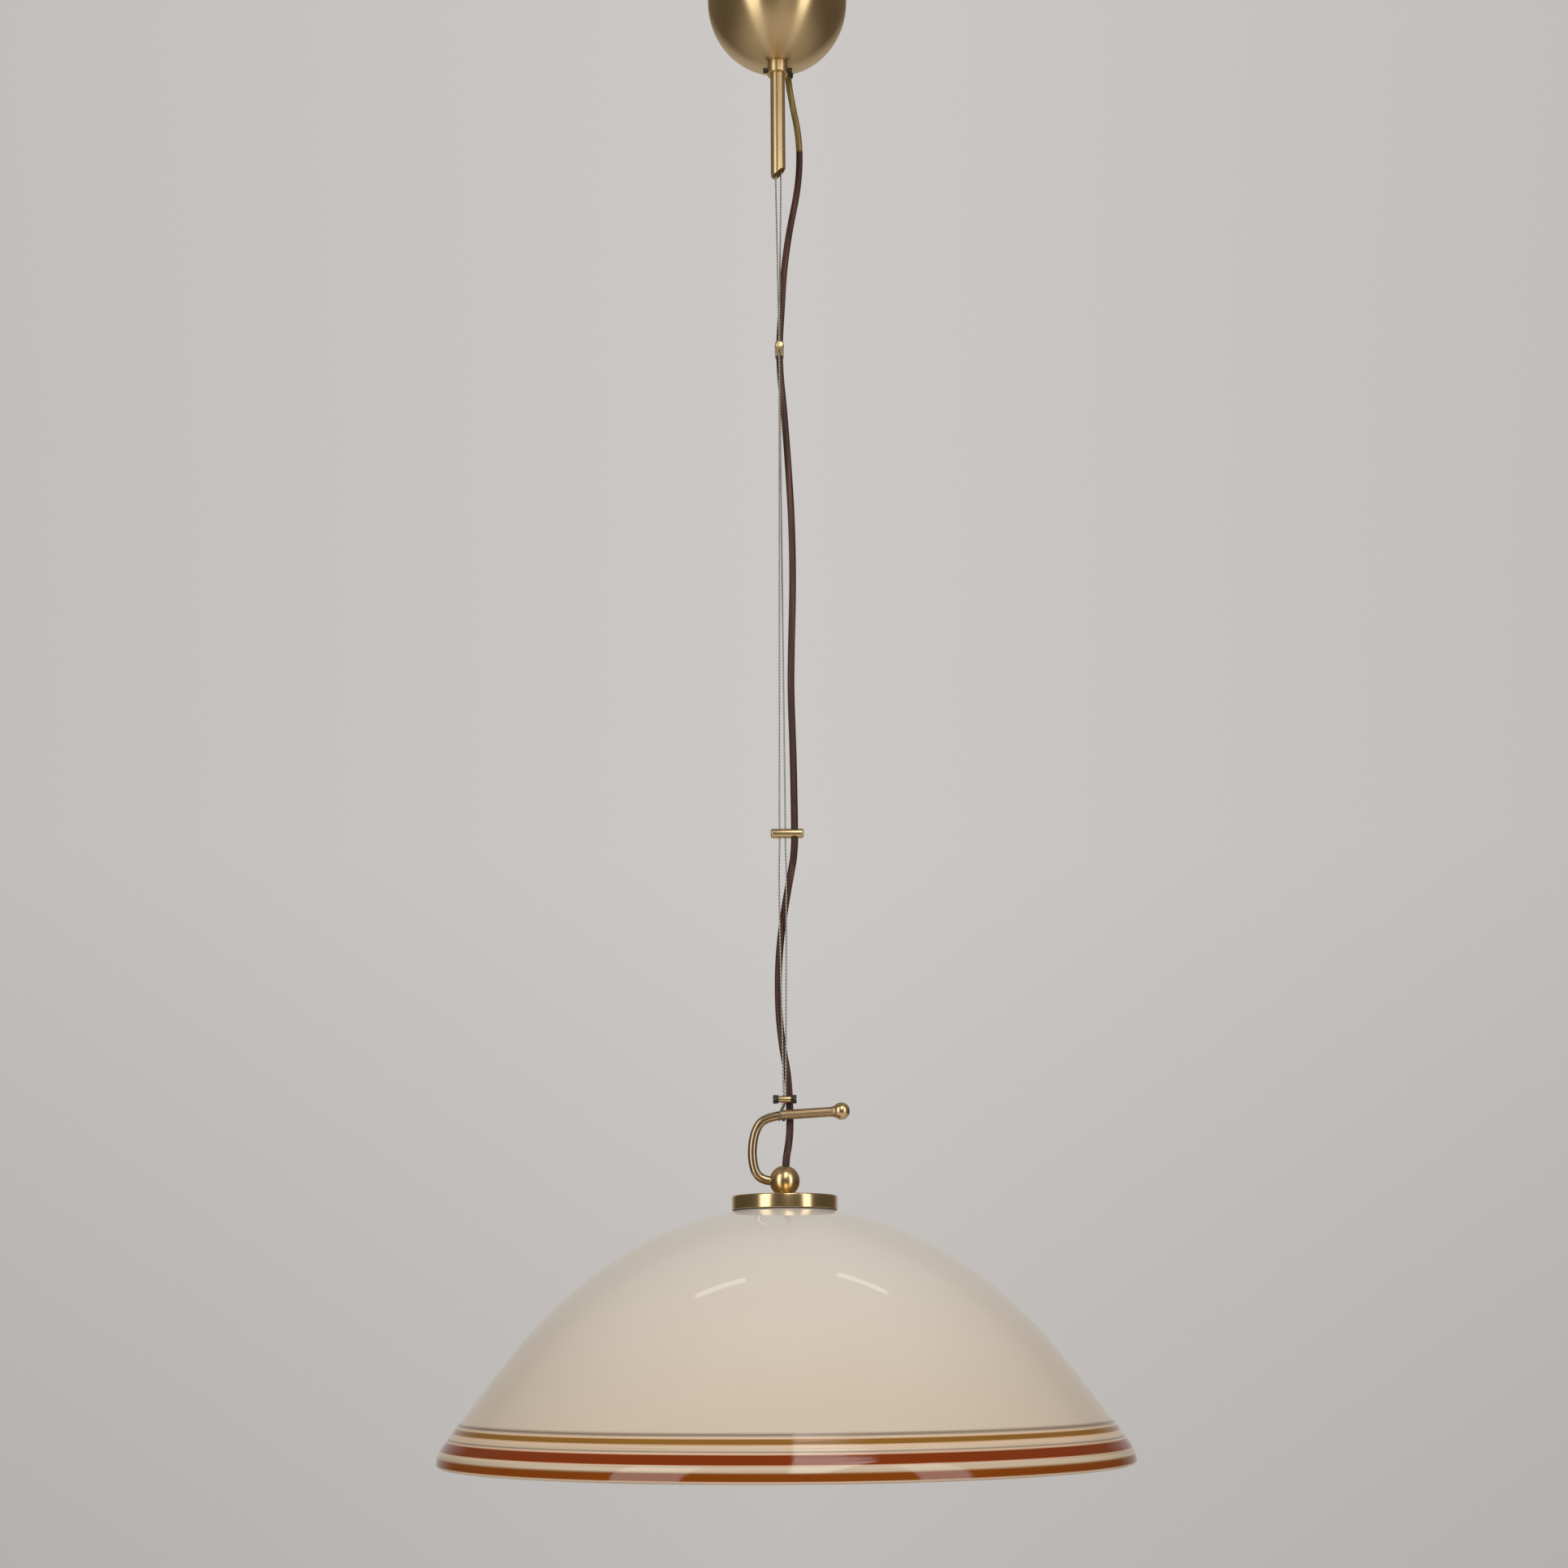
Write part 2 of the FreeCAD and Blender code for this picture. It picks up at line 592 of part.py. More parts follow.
def stem_tube():
    stem = ring(STEM_R, STEM_BORE_R, STEM_END, -STEM_TOP_DEPTH)
    toe = STEM_R - STEM_CUT_RUN
    corners = [V(toe, -STEM_R - 1, STEM_END - 1e-3), V(STEM_R + 1, -STEM_R - 1, STEM_END - 1e-3),
               V(STEM_R + 1, -STEM_R - 1, STEM_END + STEM_CUT_RISE * (STEM_R + 1 - toe) / STEM_CUT_RUN)]
    wedge = Part.Face(Part.makePolygon(corners + corners[:1])).extrude(V(0, 2 * STEM_R + 2, 0))
    return stem.cut(wedge)


def stem_nuts():
    hole_r = STEM_R + FIT
    nuts = []
    for low in (BASE_TOP, -FRAME_DEPTH - STEM_NUT):
        nut = hexagon(STEM_NUT_AF, low, low + STEM_NUT)
        nuts.append(nut.cut(upright(hole_r, low - 1, low + STEM_NUT + 1)))
    return nuts


def wire_guide():
    low = STEM_END + GUIDE_INSET
    high = low + GUIDE_HEIGHT
    guide = upright(STEM_BORE_R - FIT, low, high)
    for side in (-1, 1):
        guide = guide.cut(upright(WIRE_D / 2 + TURN_GAP, low - 1, high + 1, side * WIRE_SPACING / 2))
    return guide


COLLAR_LOW = CANOPY_LOW - COLLAR_HEIGHT
SET_SCREW_Z = COLLAR_LOW + 0.4 * COLLAR_HEIGHT


def canopy_collar():
    bore, edge = STEM_R + FIT, COLLAR_CHAMFER
    collar = lathe([(bore, COLLAR_LOW), (COLLAR_R - edge, COLLAR_LOW), (COLLAR_R, COLLAR_LOW + edge),
                    (COLLAR_R, CANOPY_LOW - edge), (COLLAR_R - edge, CANOPY_LOW), (bore, CANOPY_LOW)])
    side = V(-COLLAR_R - 1, 0, SET_SCREW_Z)
    return collar.cut(cylinder(SET_SCREW_R + FIT, side, V(1, 0, 0), 2 * COLLAR_R + 2))


def collar_screws():
    """Two set screws that grip the stem, with slotted heads that stay outside the collar."""
    head_start = COLLAR_R + SET_SCREW_GAP
    screws = []
    for side in (-1, 1):
        out = V(side, 0, 0)
        tip = V(side * (STEM_R + FIT), 0, SET_SCREW_Z)
        seat = V(side * head_start, 0, SET_SCREW_Z)
        shank = cylinder(SET_SCREW_R, tip, out, head_start - STEM_R - FIT)
        head = cylinder(SET_SCREW_HEAD_R, seat, out, SET_SCREW_HEAD)
        face = head_start + SET_SCREW_HEAD
        slot_x = sorted((side * (face - 1.0), side * (face + 1.0)))
        slot = block(slot_x[0], slot_x[1], -5, 5, SET_SCREW_Z - 0.4, SET_SCREW_Z + 0.4)
        screws.append(shank.fuse(head).cut(slot))
    return screws


# ---------------------------------------------------------------- flex inside the canopy

BLOCK_LOW = -BLOCK_END_DEPTH


def cord_bush():
    bore = FLEX_D / 2 + TURN_GAP
    top, low = -CORD_BUSH_TOP_DEPTH, -CORD_BUSH_END_DEPTH
    bush = lathe([(bore, low), (CORD_BUSH_R - 0.8, low), (CORD_BUSH_R, low + 0.8),
                  (CORD_BUSH_R, top - CORD_BUSH_FLANGE), (CORD_BUSH_FLANGE_R, top - CORD_BUSH_FLANGE),
                  (CORD_BUSH_FLANGE_R, top), (bore, top)], V(FLEX_EXIT_X, FLEX_EXIT_Y, 0))
    return bush


def pole_ys():
    return [FLEX_RISER_Y + (k - (BLOCK_POLES - 1) / 2) * POLE_PITCH for k in range(BLOCK_POLES)]


def terminal_block():
    x0 = CHEEK_OUTER_X
    body = block(x0, x0 + BLOCK_X, FLEX_RISER_Y - BLOCK_Y / 2, FLEX_RISER_Y + BLOCK_Y / 2,
                 BLOCK_LOW, -BLOCK_TOP_DEPTH)
    middle = (BLOCK_LOW - BLOCK_TOP_DEPTH) / 2
    for y in pole_ys():
        body = body.fuse(cylinder(POLE_R, V(x0 + BLOCK_X, y, middle), V(1, 0, 0), POLE_TOWER))
        body = body.cut(cylinder(POLE_SCREW_R + FIT, V(x0 + BLOCK_X - 3, y, middle), V(1, 0, 0), 9))
        body = body.cut(upright(1.4, -BLOCK_TOP_DEPTH - 6, -BLOCK_TOP_DEPTH + 1, x0 + BLOCK_X / 2, y))
    return body


def terminal_screws():
    x0 = CHEEK_OUTER_X + BLOCK_X - 3
    middle = (BLOCK_LOW - BLOCK_TOP_DEPTH) / 2
    length = POLE_TOWER + 2.0
    screws = []
    for y in pole_ys():
        screw = cylinder(POLE_SCREW_R, V(x0, y, middle), V(1, 0, 0), length)
        slot = block(x0 + length - 0.8, x0 + length + 1, y - 0.3, y + 0.3, middle - 3, middle + 3)
        screws.append(screw.cut(slot))
    return screws


def cord_clip():
    """A clip round the flex, with a flat tab on the cheek."""
    low, high = -CLIP_DEPTH - CLIP_HEIGHT / 2, -CLIP_DEPTH + CLIP_HEIGHT / 2
    bore = FLEX_D / 2 + FIT
    x, y = FLEX_RISER_X, FLEX_RISER_Y
    clip = ring(bore + CLIP_WALL, bore, low, high, x, y)
    tab = block(CHEEK_OUTER_X, CHEEK_OUTER_X + CLIP_WALL, y - 16, y, low, high)
    bridge = block(CHEEK_OUTER_X, x - bore - CLIP_WALL / 2, y - CLIP_WALL, y, low, high)
    clip = clip.fuse(tab).fuse(bridge)
    clip = clip.cut(upright(bore, low - 1, high + 1, x, y))
    return clip.cut(cylinder(BRAKE_SCREW_R + FIT, V(CHEEK_OUTER_X - 1, y - 11, -CLIP_DEPTH), V(1, 0, 0), 5))


def clip_screw():
    start = V(CHEEK_OUTER_X, FLEX_RISER_Y - 11, -CLIP_DEPTH)
    shank = cylinder(BRAKE_SCREW_R, start, V(1, 0, 0), CLIP_WALL)
    return shank.fuse(cylinder(2.6, start + V(CLIP_WALL, 0, 0), V(1, 0, 0), 1.8))


# ---------------------------------------------------------------- cords, by points chosen along their routes

FLEX_INSIDE_ROUTE = [
    (FLEX_RISER_X, FLEX_RISER_Y, BLOCK_LOW), (FLEX_RISER_X, FLEX_RISER_Y, -62.0),
    (FLEX_EXIT_X, FLEX_EXIT_Y, -73.5), (FLEX_EXIT_X, FLEX_EXIT_Y, -90.0),
    (10.8, 24.15, -CORD_ANCHOR_DEPTH)]

FLEX_TO_UPPER_BAR = [
    (10.8, 24.15, 0.0), (12.6, 24.3, 0.047), (17.4, 23.8, 0.152), (18.8, 22.3, 0.258),
    (16.6, 19.8, 0.383), (8.4, 16.2, 0.555), (3.8, 13.0, 0.711), (2.2, 10.4, 0.836),
    (0.2, FLEX_OFFSET, 0.945)]
FLEX_TO_LOWER_BAR = [
    (0.2, FLEX_OFFSET, 0.034), (3.4, 9.0, 0.121), (6.6, 8.0, 0.237), (9.2, 6.6, 0.363),
    (9.8, 5.0, 0.494), (8.2, 3.4, 0.62), (7.3, 2.0, 0.717), (8.8, 0.7, 0.833),
    (FLEX_OFFSET, 0.0, 0.964)]
FLEX_TO_CLAMP = [
    (FLEX_OFFSET, 0.0, 0.073), (5.6, 3.2, 0.17), (0.6, 4.5, 0.306), (-3.6, 4.8, 0.471),
    (-4.1, 4.7, 0.655), (-1.2, 5.6, 0.801), (3.4, 7.2, 0.917), (4.0, 7.3, 1.0)]
FLEX_TO_BALL = [
    (4.0, 7.3, 0.0), (4.6, 7.4, 0.28), (3.4, 3.8, 0.543), (BALL_FLEX_X, 0.0, 0.757),
    (BALL_FLEX_X, 0.0, 0.971)]


def hung(top, low, places):
    """Points between two depths, each from its X, its Y and its share of the way down."""
    return [(x, y, -top - share * (low - top)) for x, y, share in places]


def flex_route():
    return (hung(CORD_ANCHOR_DEPTH, UPPER_BAR_DEPTH, FLEX_TO_UPPER_BAR)
            + hung(UPPER_BAR_DEPTH, LOWER_BAR_DEPTH, FLEX_TO_LOWER_BAR)
            + hung(LOWER_BAR_DEPTH, CLAMP_DEPTH, FLEX_TO_CLAMP))


def wire_route(side):
    half = side * WIRE_SPACING / 2
    end = CLAMP_X + side * EYE_WIRE_STEP
    return [(half, 0, -CORD_ANCHOR_DEPTH), (half, 0, STEM_END), (0, half, -UPPER_BAR_DEPTH),
            (half, 0, -LOWER_BAR_DEPTH), (1.3 * half, 0, -LOWER_BAR_DEPTH - 16), (end, 0, EYE_TOP)]


EYE_TOP = -CLAMP_DEPTH + CLAMP_R + 0.6
TAUT_BEND_R = 12.0    # where the wires turn at a bar
GROOVE_R = ROD_R - ROD_GROOVE
EYE_R = GROOVE_R + TURN_GAP + WIRE_D / 2


def suspension_wires():
    return [tube(wire_route(side), WIRE_D, TAUT_BEND_R)[0] for side in (-1, 1)]


def wire_eye():
    """One wire down from the clamp, round under the rod and back up."""
    top, under = EYE_TOP, -EYE_DEPTH - EYE_R
    fork, shoulder = -CLAMP_DEPTH - CLAMP_R - 1.6, -EYE_DEPTH + 1.7
    near, far = CLAMP_X - EYE_WIRE_STEP, CLAMP_X + EYE_WIRE_STEP
    route = [(near, 0, top), (near, 0, fork), (EYE_X, -EYE_R, shoulder), (EYE_X, -EYE_R, under),
             (EYE_X, EYE_R, under), (EYE_X, EYE_R, shoulder), (far, 0, fork), (far, 0, top)]
    return tube(route, WIRE_D, EYE_R)[0]


# ---------------------------------------------------------------- spacer bars and clamp

def spacer_bar(depth, along):
    """A round bar with rounded ends, threaded on the two wires and the flex."""
    start = V(along).multiply(-BAR_TAIL) + V(0, 0, -depth)
    edge = BAR_EDGE
    bar = lathe([(0, 0), (BAR_R - edge, 0), (BAR_R, edge), (BAR_R, BAR_LENGTH - edge),
                 (BAR_R - edge, BAR_LENGTH), (0, BAR_LENGTH)], start, along)
    holes = [(-WIRE_SPACING / 2, WIRE_D / 2), (WIRE_SPACING / 2, WIRE_D / 2), (FLEX_OFFSET, FLEX_D / 2)]
    for offset, radius in holes:
        place = V(along).multiply(offset)
        bar = bar.cut(upright(radius + TURN_GAP, -depth - 10, -depth + 10, place.x, place.y))
    return bar


def clamp_barrel():
    x0 = CLAMP_X - CLAMP_LENGTH / 2
    barrel = cylinder(CLAMP_R, V(x0, 0, -CLAMP_DEPTH), V(1, 0, 0), CLAMP_LENGTH)
    for side in (-1, 1):
        x = CLAMP_X + side * EYE_WIRE_STEP
        barrel = barrel.cut(upright(WIRE_D / 2 + FIT, -CLAMP_DEPTH - 5, -CLAMP_DEPTH + 5, x))
        mouth = V(CLAMP_X + side * CLAMP_LENGTH / 2, 0, -CLAMP_DEPTH)
        barrel = barrel.cut(cylinder(CLAMP_SCREW_R + FIT, mouth, V(-side, 0, 0), CLAMP_SCREW_DEPTH))
    return barrel


def clamp_screws():
    """Two slotted screws that press on the wires from the barrel's ends."""
    screws = []
    for side in (-1, 1):
        mouth = V(CLAMP_X + side * CLAMP_LENGTH / 2, 0, -CLAMP_DEPTH)
        shank = cylinder(CLAMP_SCREW_R, mouth, V(-side, 0, 0), CLAMP_SCREW_DEPTH)
        r, rim = CLAMP_SCREW_HEAD_R, 0.5
        head = lathe([(0, 0), (r - rim, 0), (r, rim), (r, 1.3), (r - 0.4, 1.6), (r, 1.9),
                      (r, CLAMP_SCREW_HEAD - rim), (r - rim, CLAMP_SCREW_HEAD), (0, CLAMP_SCREW_HEAD)],
                     mouth, V(side, 0, 0))
        face = mouth.x + side * CLAMP_SCREW_HEAD
        slot_x = sorted((face, face - side * CLAMP_SCREW_SLOT))
        slot = block(slot_x[0], slot_x[1], -5, 5, -CLAMP_DEPTH - 0.4, -CLAMP_DEPTH + 0.4)
        screws.append(shank.fuse(head).cut(slot))
    return screws


# ---------------------------------------------------------------- hook, arm and handle

ARM_SLOPE = math.tan(math.radians(ARM_RISE_DEG))
ARM_DIRECTION = V(math.cos(math.radians(ARM_RISE_DEG)), 0, math.sin(math.radians(ARM_RISE_DEG)))
ARM_UNDERSIDE = V(ARM_DIRECTION.z, 0, -ARM_DIRECTION.x)
DISC_TOP = -DISC_TOP_DEPTH
BALL_LOW = DISC_TOP + BALL_WASHER
BALL_Z = BALL_LOW + math.sqrt(BALL_R ** 2 - BALL_FLAT_R ** 2)


def arm_point(x):
    """A point on the arm's axis."""
    return V(x, 0, -EYE_DEPTH + (x - EYE_X) * ARM_SLOPE)


def hook_rod():
    top = arm_point(HOOK_TOP_X)
    end = arm_point(ARM_START_X + ARM_BORE - 0.1)
    rise = -EYE_DEPTH - BALL_Z
    route = [(-BALL_R + BALL_SOCKET, 0, BALL_Z), (HOOK_FOOT_X, 0, BALL_Z),
             (HOOK_BACK_X, 0, BALL_Z + 0.338 * rise), (HOOK_SHOULDER_X, 0, BALL_Z + 0.767 * rise),
             tuple(top), tuple(end)]
    rod = tube(route, 2 * ROD_R)[0]
    groove = ring(ROD_R + 1, GROOVE_R, -WIRE_D / 2 - 0.35, WIRE_D / 2 + 0.35)
    groove.Placement = FreeCAD.Placement(arm_point(EYE_X), FreeCAD.Rotation(V(0, 0, 1), ARM_DIRECTION))
    return rod.cut(groove)


def hook_arm():
    start = arm_point(ARM_START_X)
    length = (HANDLE_X - ARM_START_X) / ARM_DIRECTION.x - math.sqrt(HANDLE_R ** 2 - ARM_FLARE_R ** 2)
    arm = lathe([(0, ARM_BORE), (ROD_R + FIT, ARM_BORE), (ROD_R + FIT, 0), (ARM_R - 0.1, 0), (ARM_R, 0.4),
                 (ARM_R, length - ARM_FLARE), (ARM_R + 0.25, length - 0.5 * ARM_FLARE),
                 (ARM_FLARE_R, length), (0, length)], start, ARM_DIRECTION)
    return arm.cut(cylinder(HOOK_STOP_R + FIT, arm_point(HOOK_STOP_X), ARM_UNDERSIDE, 10))


def arm_stop_screw():
    """The grub screw under the arm that holds it on the rod and keeps the eye from sliding."""
    start = arm_point(HOOK_STOP_X) + ARM_UNDERSIDE * (ROD_R + FIT)
    return cylinder(HOOK_STOP_R, start, ARM_UNDERSIDE, ARM_R - ROD_R + HOOK_STOP_OUT)


def handle_ball():
    centre = arm_point(HANDLE_X)
    seat = math.sqrt(HANDLE_R ** 2 - ARM_FLARE_R ** 2)
    cut_off = cylinder(HANDLE_R + 1, centre - ARM_DIRECTION * seat, ARM_DIRECTION * -1, HANDLE_R)
    return Part.makeSphere(HANDLE_R, centre).cut(cut_off)


# ---------------------------------------------------------------- junction ball, disc and glass

def arc_chain(start, arcs, inward=0.0):
    """Tangent arcs that curve down from a level start, as edges, moved inward by a wall thickness."""
    r, z, heading = start.x, start.z - inward, 0.0
    edges = []
    for radius, sweep_deg in arcs:
        radius -= inward
        turn = math.radians(sweep_deg)
        centre_r, centre_z = r - radius * math.sin(heading), z - radius * math.cos(heading)

        def at(angle):
            return V(centre_r + radius * math.sin(angle), 0, centre_z + radius * math.cos(angle))

        edges.append(Part.Arc(at(heading), at(heading + turn / 2), at(heading + turn)).toShape())
        heading += turn
        r, z = at(heading).x, at(heading).z
    return edges, V(r, 0, z), heading


SHADE_ARCS = [(CROWN_R, CROWN_SWEEP_DEG), (SHOULDER_R, SHOULDER_SWEEP_DEG),
              (FLANK_R, FLANK_SWEEP_DEG), (LIP_R, LIP_SWEEP_DEG)]
DISC_LOW = DISC_TOP - DISC_HEIGHT
SEAL_OUTER_R = DISC_R - DISC_LOW_EDGE
SEAL_INNER_R = SEAL_OUTER_R - SEAL_WIDTH


def crown_sag(r, radius=CROWN_R):
    return radius - math.sqrt(radius ** 2 - r ** 2)


GLASS_TOP = DISC_LOW - SEAL + crown_sag(SEAL_INNER_R)
GLASS_UNDER = GLASS_TOP - GLASS_WALL
UPPER_WASHER_TOP = GLASS_TOP - crown_sag(GLASS_HOLE_R) + WASHER
WASHER_TOP = GLASS_UNDER - crown_sag(WASHER_R, CROWN_R - GLASS_WALL)
PLATE_TOP = WASHER_TOP - WASHER
NUT_TOP = PLATE_TOP - PLATE_THICK
HOLDER_TOP = NUT_TOP - NUT_THICK
NIPPLE_LOW = HOLDER_TOP - HOLDER_NECK


def junction_ball():
    ball = Part.makeSphere(BALL_R, V(0, 0, BALL_Z))
    ball = ball.cut(upright(BALL_R + 1, BALL_Z - BALL_R - 1, BALL_LOW))
    ball = ball.cut(upright(NIPPLE_R + FIT, BALL_LOW - 1, DISC_TOP + NIPPLE_IN_BALL + FIT))
    ball = ball.cut(upright(BALL_FLEX_HOLE_R, BALL_Z - 6, BALL_Z + BALL_R + 1, BALL_FLEX_X))
    socket = cylinder(ROD_R + FIT, V(-BALL_R - 1, 0, BALL_Z), V(1, 0, 0), BALL_SOCKET + 1)
    return ball.cut(socket)


def ball_washer():
    return ring(BALL_WASHER_R, NIPPLE_R + FIT, DISC_TOP, BALL_LOW)


def disc_cap():
    """A turned cup, open below, with softened edges."""
    top, low, wall = DISC_TOP, DISC_LOW, DISC_WALL
    te, le = DISC_TOP_EDGE, DISC_LOW_EDGE
    soft = te * (1 - math.sqrt(0.5))
    edges = [Part.LineSegment(V(NIPPLE_R + FIT, 0, top), V(DISC_R - te, 0, top)),
             Part.Arc(V(DISC_R - te, 0, top), V(DISC_R - soft, 0, top - soft), V(DISC_R, 0, top - te)),
             Part.LineSegment(V(DISC_R, 0, top - te), V(DISC_R, 0, low + le)),
             Part.LineSegment(V(DISC_R, 0, low + le), V(SEAL_OUTER_R, 0, low)),
             Part.LineSegment(V(SEAL_OUTER_R, 0, low), V(SEAL_INNER_R, 0, low)),
             Part.LineSegment(V(SEAL_INNER_R, 0, low), V(SEAL_INNER_R, 0, top - wall)),
             Part.LineSegment(V(SEAL_INNER_R, 0, top - wall), V(NIPPLE_R + FIT, 0, top - wall)),
             Part.LineSegment(V(NIPPLE_R + FIT, 0, top - wall), V(NIPPLE_R + FIT, 0, top))]
    return lathe(Part.Wire([edge.toShape() for edge in edges]))


def disc_seal():
    """A ring that fills the gap between the cup's rim and the sloping glass."""
    return lathe([(SEAL_INNER_R, DISC_LOW), (SEAL_OUTER_R, DISC_LOW),
                  (SEAL_OUTER_R, GLASS_TOP - crown_sag(SEAL_OUTER_R) + SEAT_GAP),
                  (SEAL_INNER_R, GLASS_TOP - crown_sag(SEAL_INNER_R) + SEAT_GAP)])


def glass_shade():
    start = V(0, 0, GLASS_TOP)
    outer, outer_end, heading = arc_chain(start, SHADE_ARCS)
    inner, inner_end, _ = arc_chain(start, SHADE_ARCS, GLASS_WALL)
    down = V(math.cos(heading), 0, -math.sin(heading))
    lip = (outer_end + inner_end) * 0.5 + down * (GLASS_WALL / 2)
    edges = outer + [Part.Arc(outer_end, lip, inner_end).toShape()] + inner
    edges.append(Part.LineSegment(V(0, 0, GLASS_UNDER), start).toShape())
    shade = lathe(Part.Wire(Part.__sortEdges__(edges)))
    return shade.cut(upright(GLASS_HOLE_R, GLASS_UNDER - 5, GLASS_TOP + 5))


def nipple():
    return ring(NIPPLE_R, NIPPLE_BORE_R, NIPPLE_LOW, DISC_TOP + NIPPLE_IN_BALL)


def spacer_sleeve():
    return ring(NIPPLE_R + FIT + SLEEVE_WALL, NIPPLE_R + FIT, UPPER_WASHER_TOP, DISC_TOP - DISC_WALL)


def upper_washer():
    return ring(WASHER_R, NIPPLE_R + FIT, UPPER_WASHER_TOP - WASHER, UPPER_WASHER_TOP)


def lower_washer():
    return ring(WASHER_R, NIPPLE_R + FIT, PLATE_TOP, WASHER_TOP)


def support_plate():
    return ring(PLATE_R, NIPPLE_R + FIT, NUT_TOP, PLATE_TOP)


def clamp_nut():
    return hexagon(NUT_AF, HOLDER_TOP, NUT_TOP).cut(upright(NIPPLE_R + FIT, HOLDER_TOP - 1, NUT_TOP + 1))


# ---------------------------------------------------------------- lampholder

CONE_LOW = NIPPLE_LOW - HOLDER_CONE
CAP_LOW = CONE_LOW - HOLDER_CAP_SKIRT
SKIRT_LOW = CAP_LOW - HOLDER_SKIRT
CORE_TOP = CAP_LOW + CORE_INSET
CORE_LOW = CORE_TOP - CORE_HEIGHT
INSULATOR_R = HOLDER_R - HOLDER_WALL - FIT
SOCKET_TOP = CORE_LOW - SOCKET_STAND
SOCKET_LOW = SOCKET_TOP - SOCKET_LENGTH


def lampholder_cap():
    bore, wall = NIPPLE_R + FIT, HOLDER_WALL
    return lathe([(bore, HOLDER_TOP), (HOLDER_NECK_R, HOLDER_TOP), (HOLDER_NECK_R, NIPPLE_LOW),
                  (HOLDER_R, CONE_LOW), (HOLDER_R, CAP_LOW), (HOLDER_R - wall, CAP_LOW),
                  (HOLDER_R - wall, CONE_LOW - wall / 2), (bore + 1.0, NIPPLE_LOW - wall / 2),
                  (bore, NIPPLE_LOW)])


def lampholder_skirt():
    wall, lip = HOLDER_WALL, 0.8
    return lathe([(HOLDER_R - wall, CAP_LOW), (HOLDER_R, CAP_LOW), (HOLDER_R, SKIRT_LOW + lip),
                  (HOLDER_R - lip, SKIRT_LOW), (HOLDER_R - wall, SKIRT_LOW)])


def lampholder_core():
    """The insulator: a thick disc, with a sleeve round the threaded shell."""
    sleeve_r = SOCKET_R + SOCKET_WALL + FIT
    core = lathe([(0, CORE_TOP), (INSULATOR_R, CORE_TOP), (INSULATOR_R, SOCKET_LOW), (sleeve_r, SOCKET_LOW),
                  (sleeve_r, CORE_LOW), (0, CORE_LOW)])
    for side in (-1, 1):
        core = core.cut(upright(TERMINAL_R + FIT, CORE_TOP - 4, CORE_TOP + 1, side * TERMINAL_X))
    return core


def socket_shell():
    return ring(SOCKET_R + SOCKET_WALL, SOCKET_R, SOCKET_LOW, SOCKET_TOP)


def centre_contact():
    low = CORE_LOW - CONTACT
    return upright(CONTACT_R, low, CORE_LOW).fuse(block(0, 9.0, -1.5, 1.5, CORE_LOW - 0.6, CORE_LOW))


def terminal_pair():
    screws = []
    for side in (-1, 1):
        x = side * TERMINAL_X
        screw = upright(TERMINAL_R, CORE_TOP - 4, CORE_TOP, x)
        screw = screw.fuse(upright(1.6 * TERMINAL_R, CORE_TOP, CORE_TOP + TERMINAL_HEAD, x))
        slot = block(x - 4, x + 4, -0.4, 0.4, CORE_TOP + TERMINAL_HEAD - 0.7, CORE_TOP + TERMINAL_HEAD + 1)
        screws.append(screw.cut(slot))
    return screws


# ---------------------------------------------------------------- writing the pieces

def report_cord(name, points, diameter, solid, length, bends):
    area = math.pi * diameter ** 2 / 4
    share = solid.Volume / (area * length)
    print("%s: length %.1f, tightest bend %.1f, volume over section times length %.4f, %d points"
          % (name, length, min(bends), share, len(points)))


def save_cord(name, points, diameter):
    solid, length, bends = tube(points, diameter)
    report_cord(name, points, diameter, solid, length, bends)
    save(name, solid)


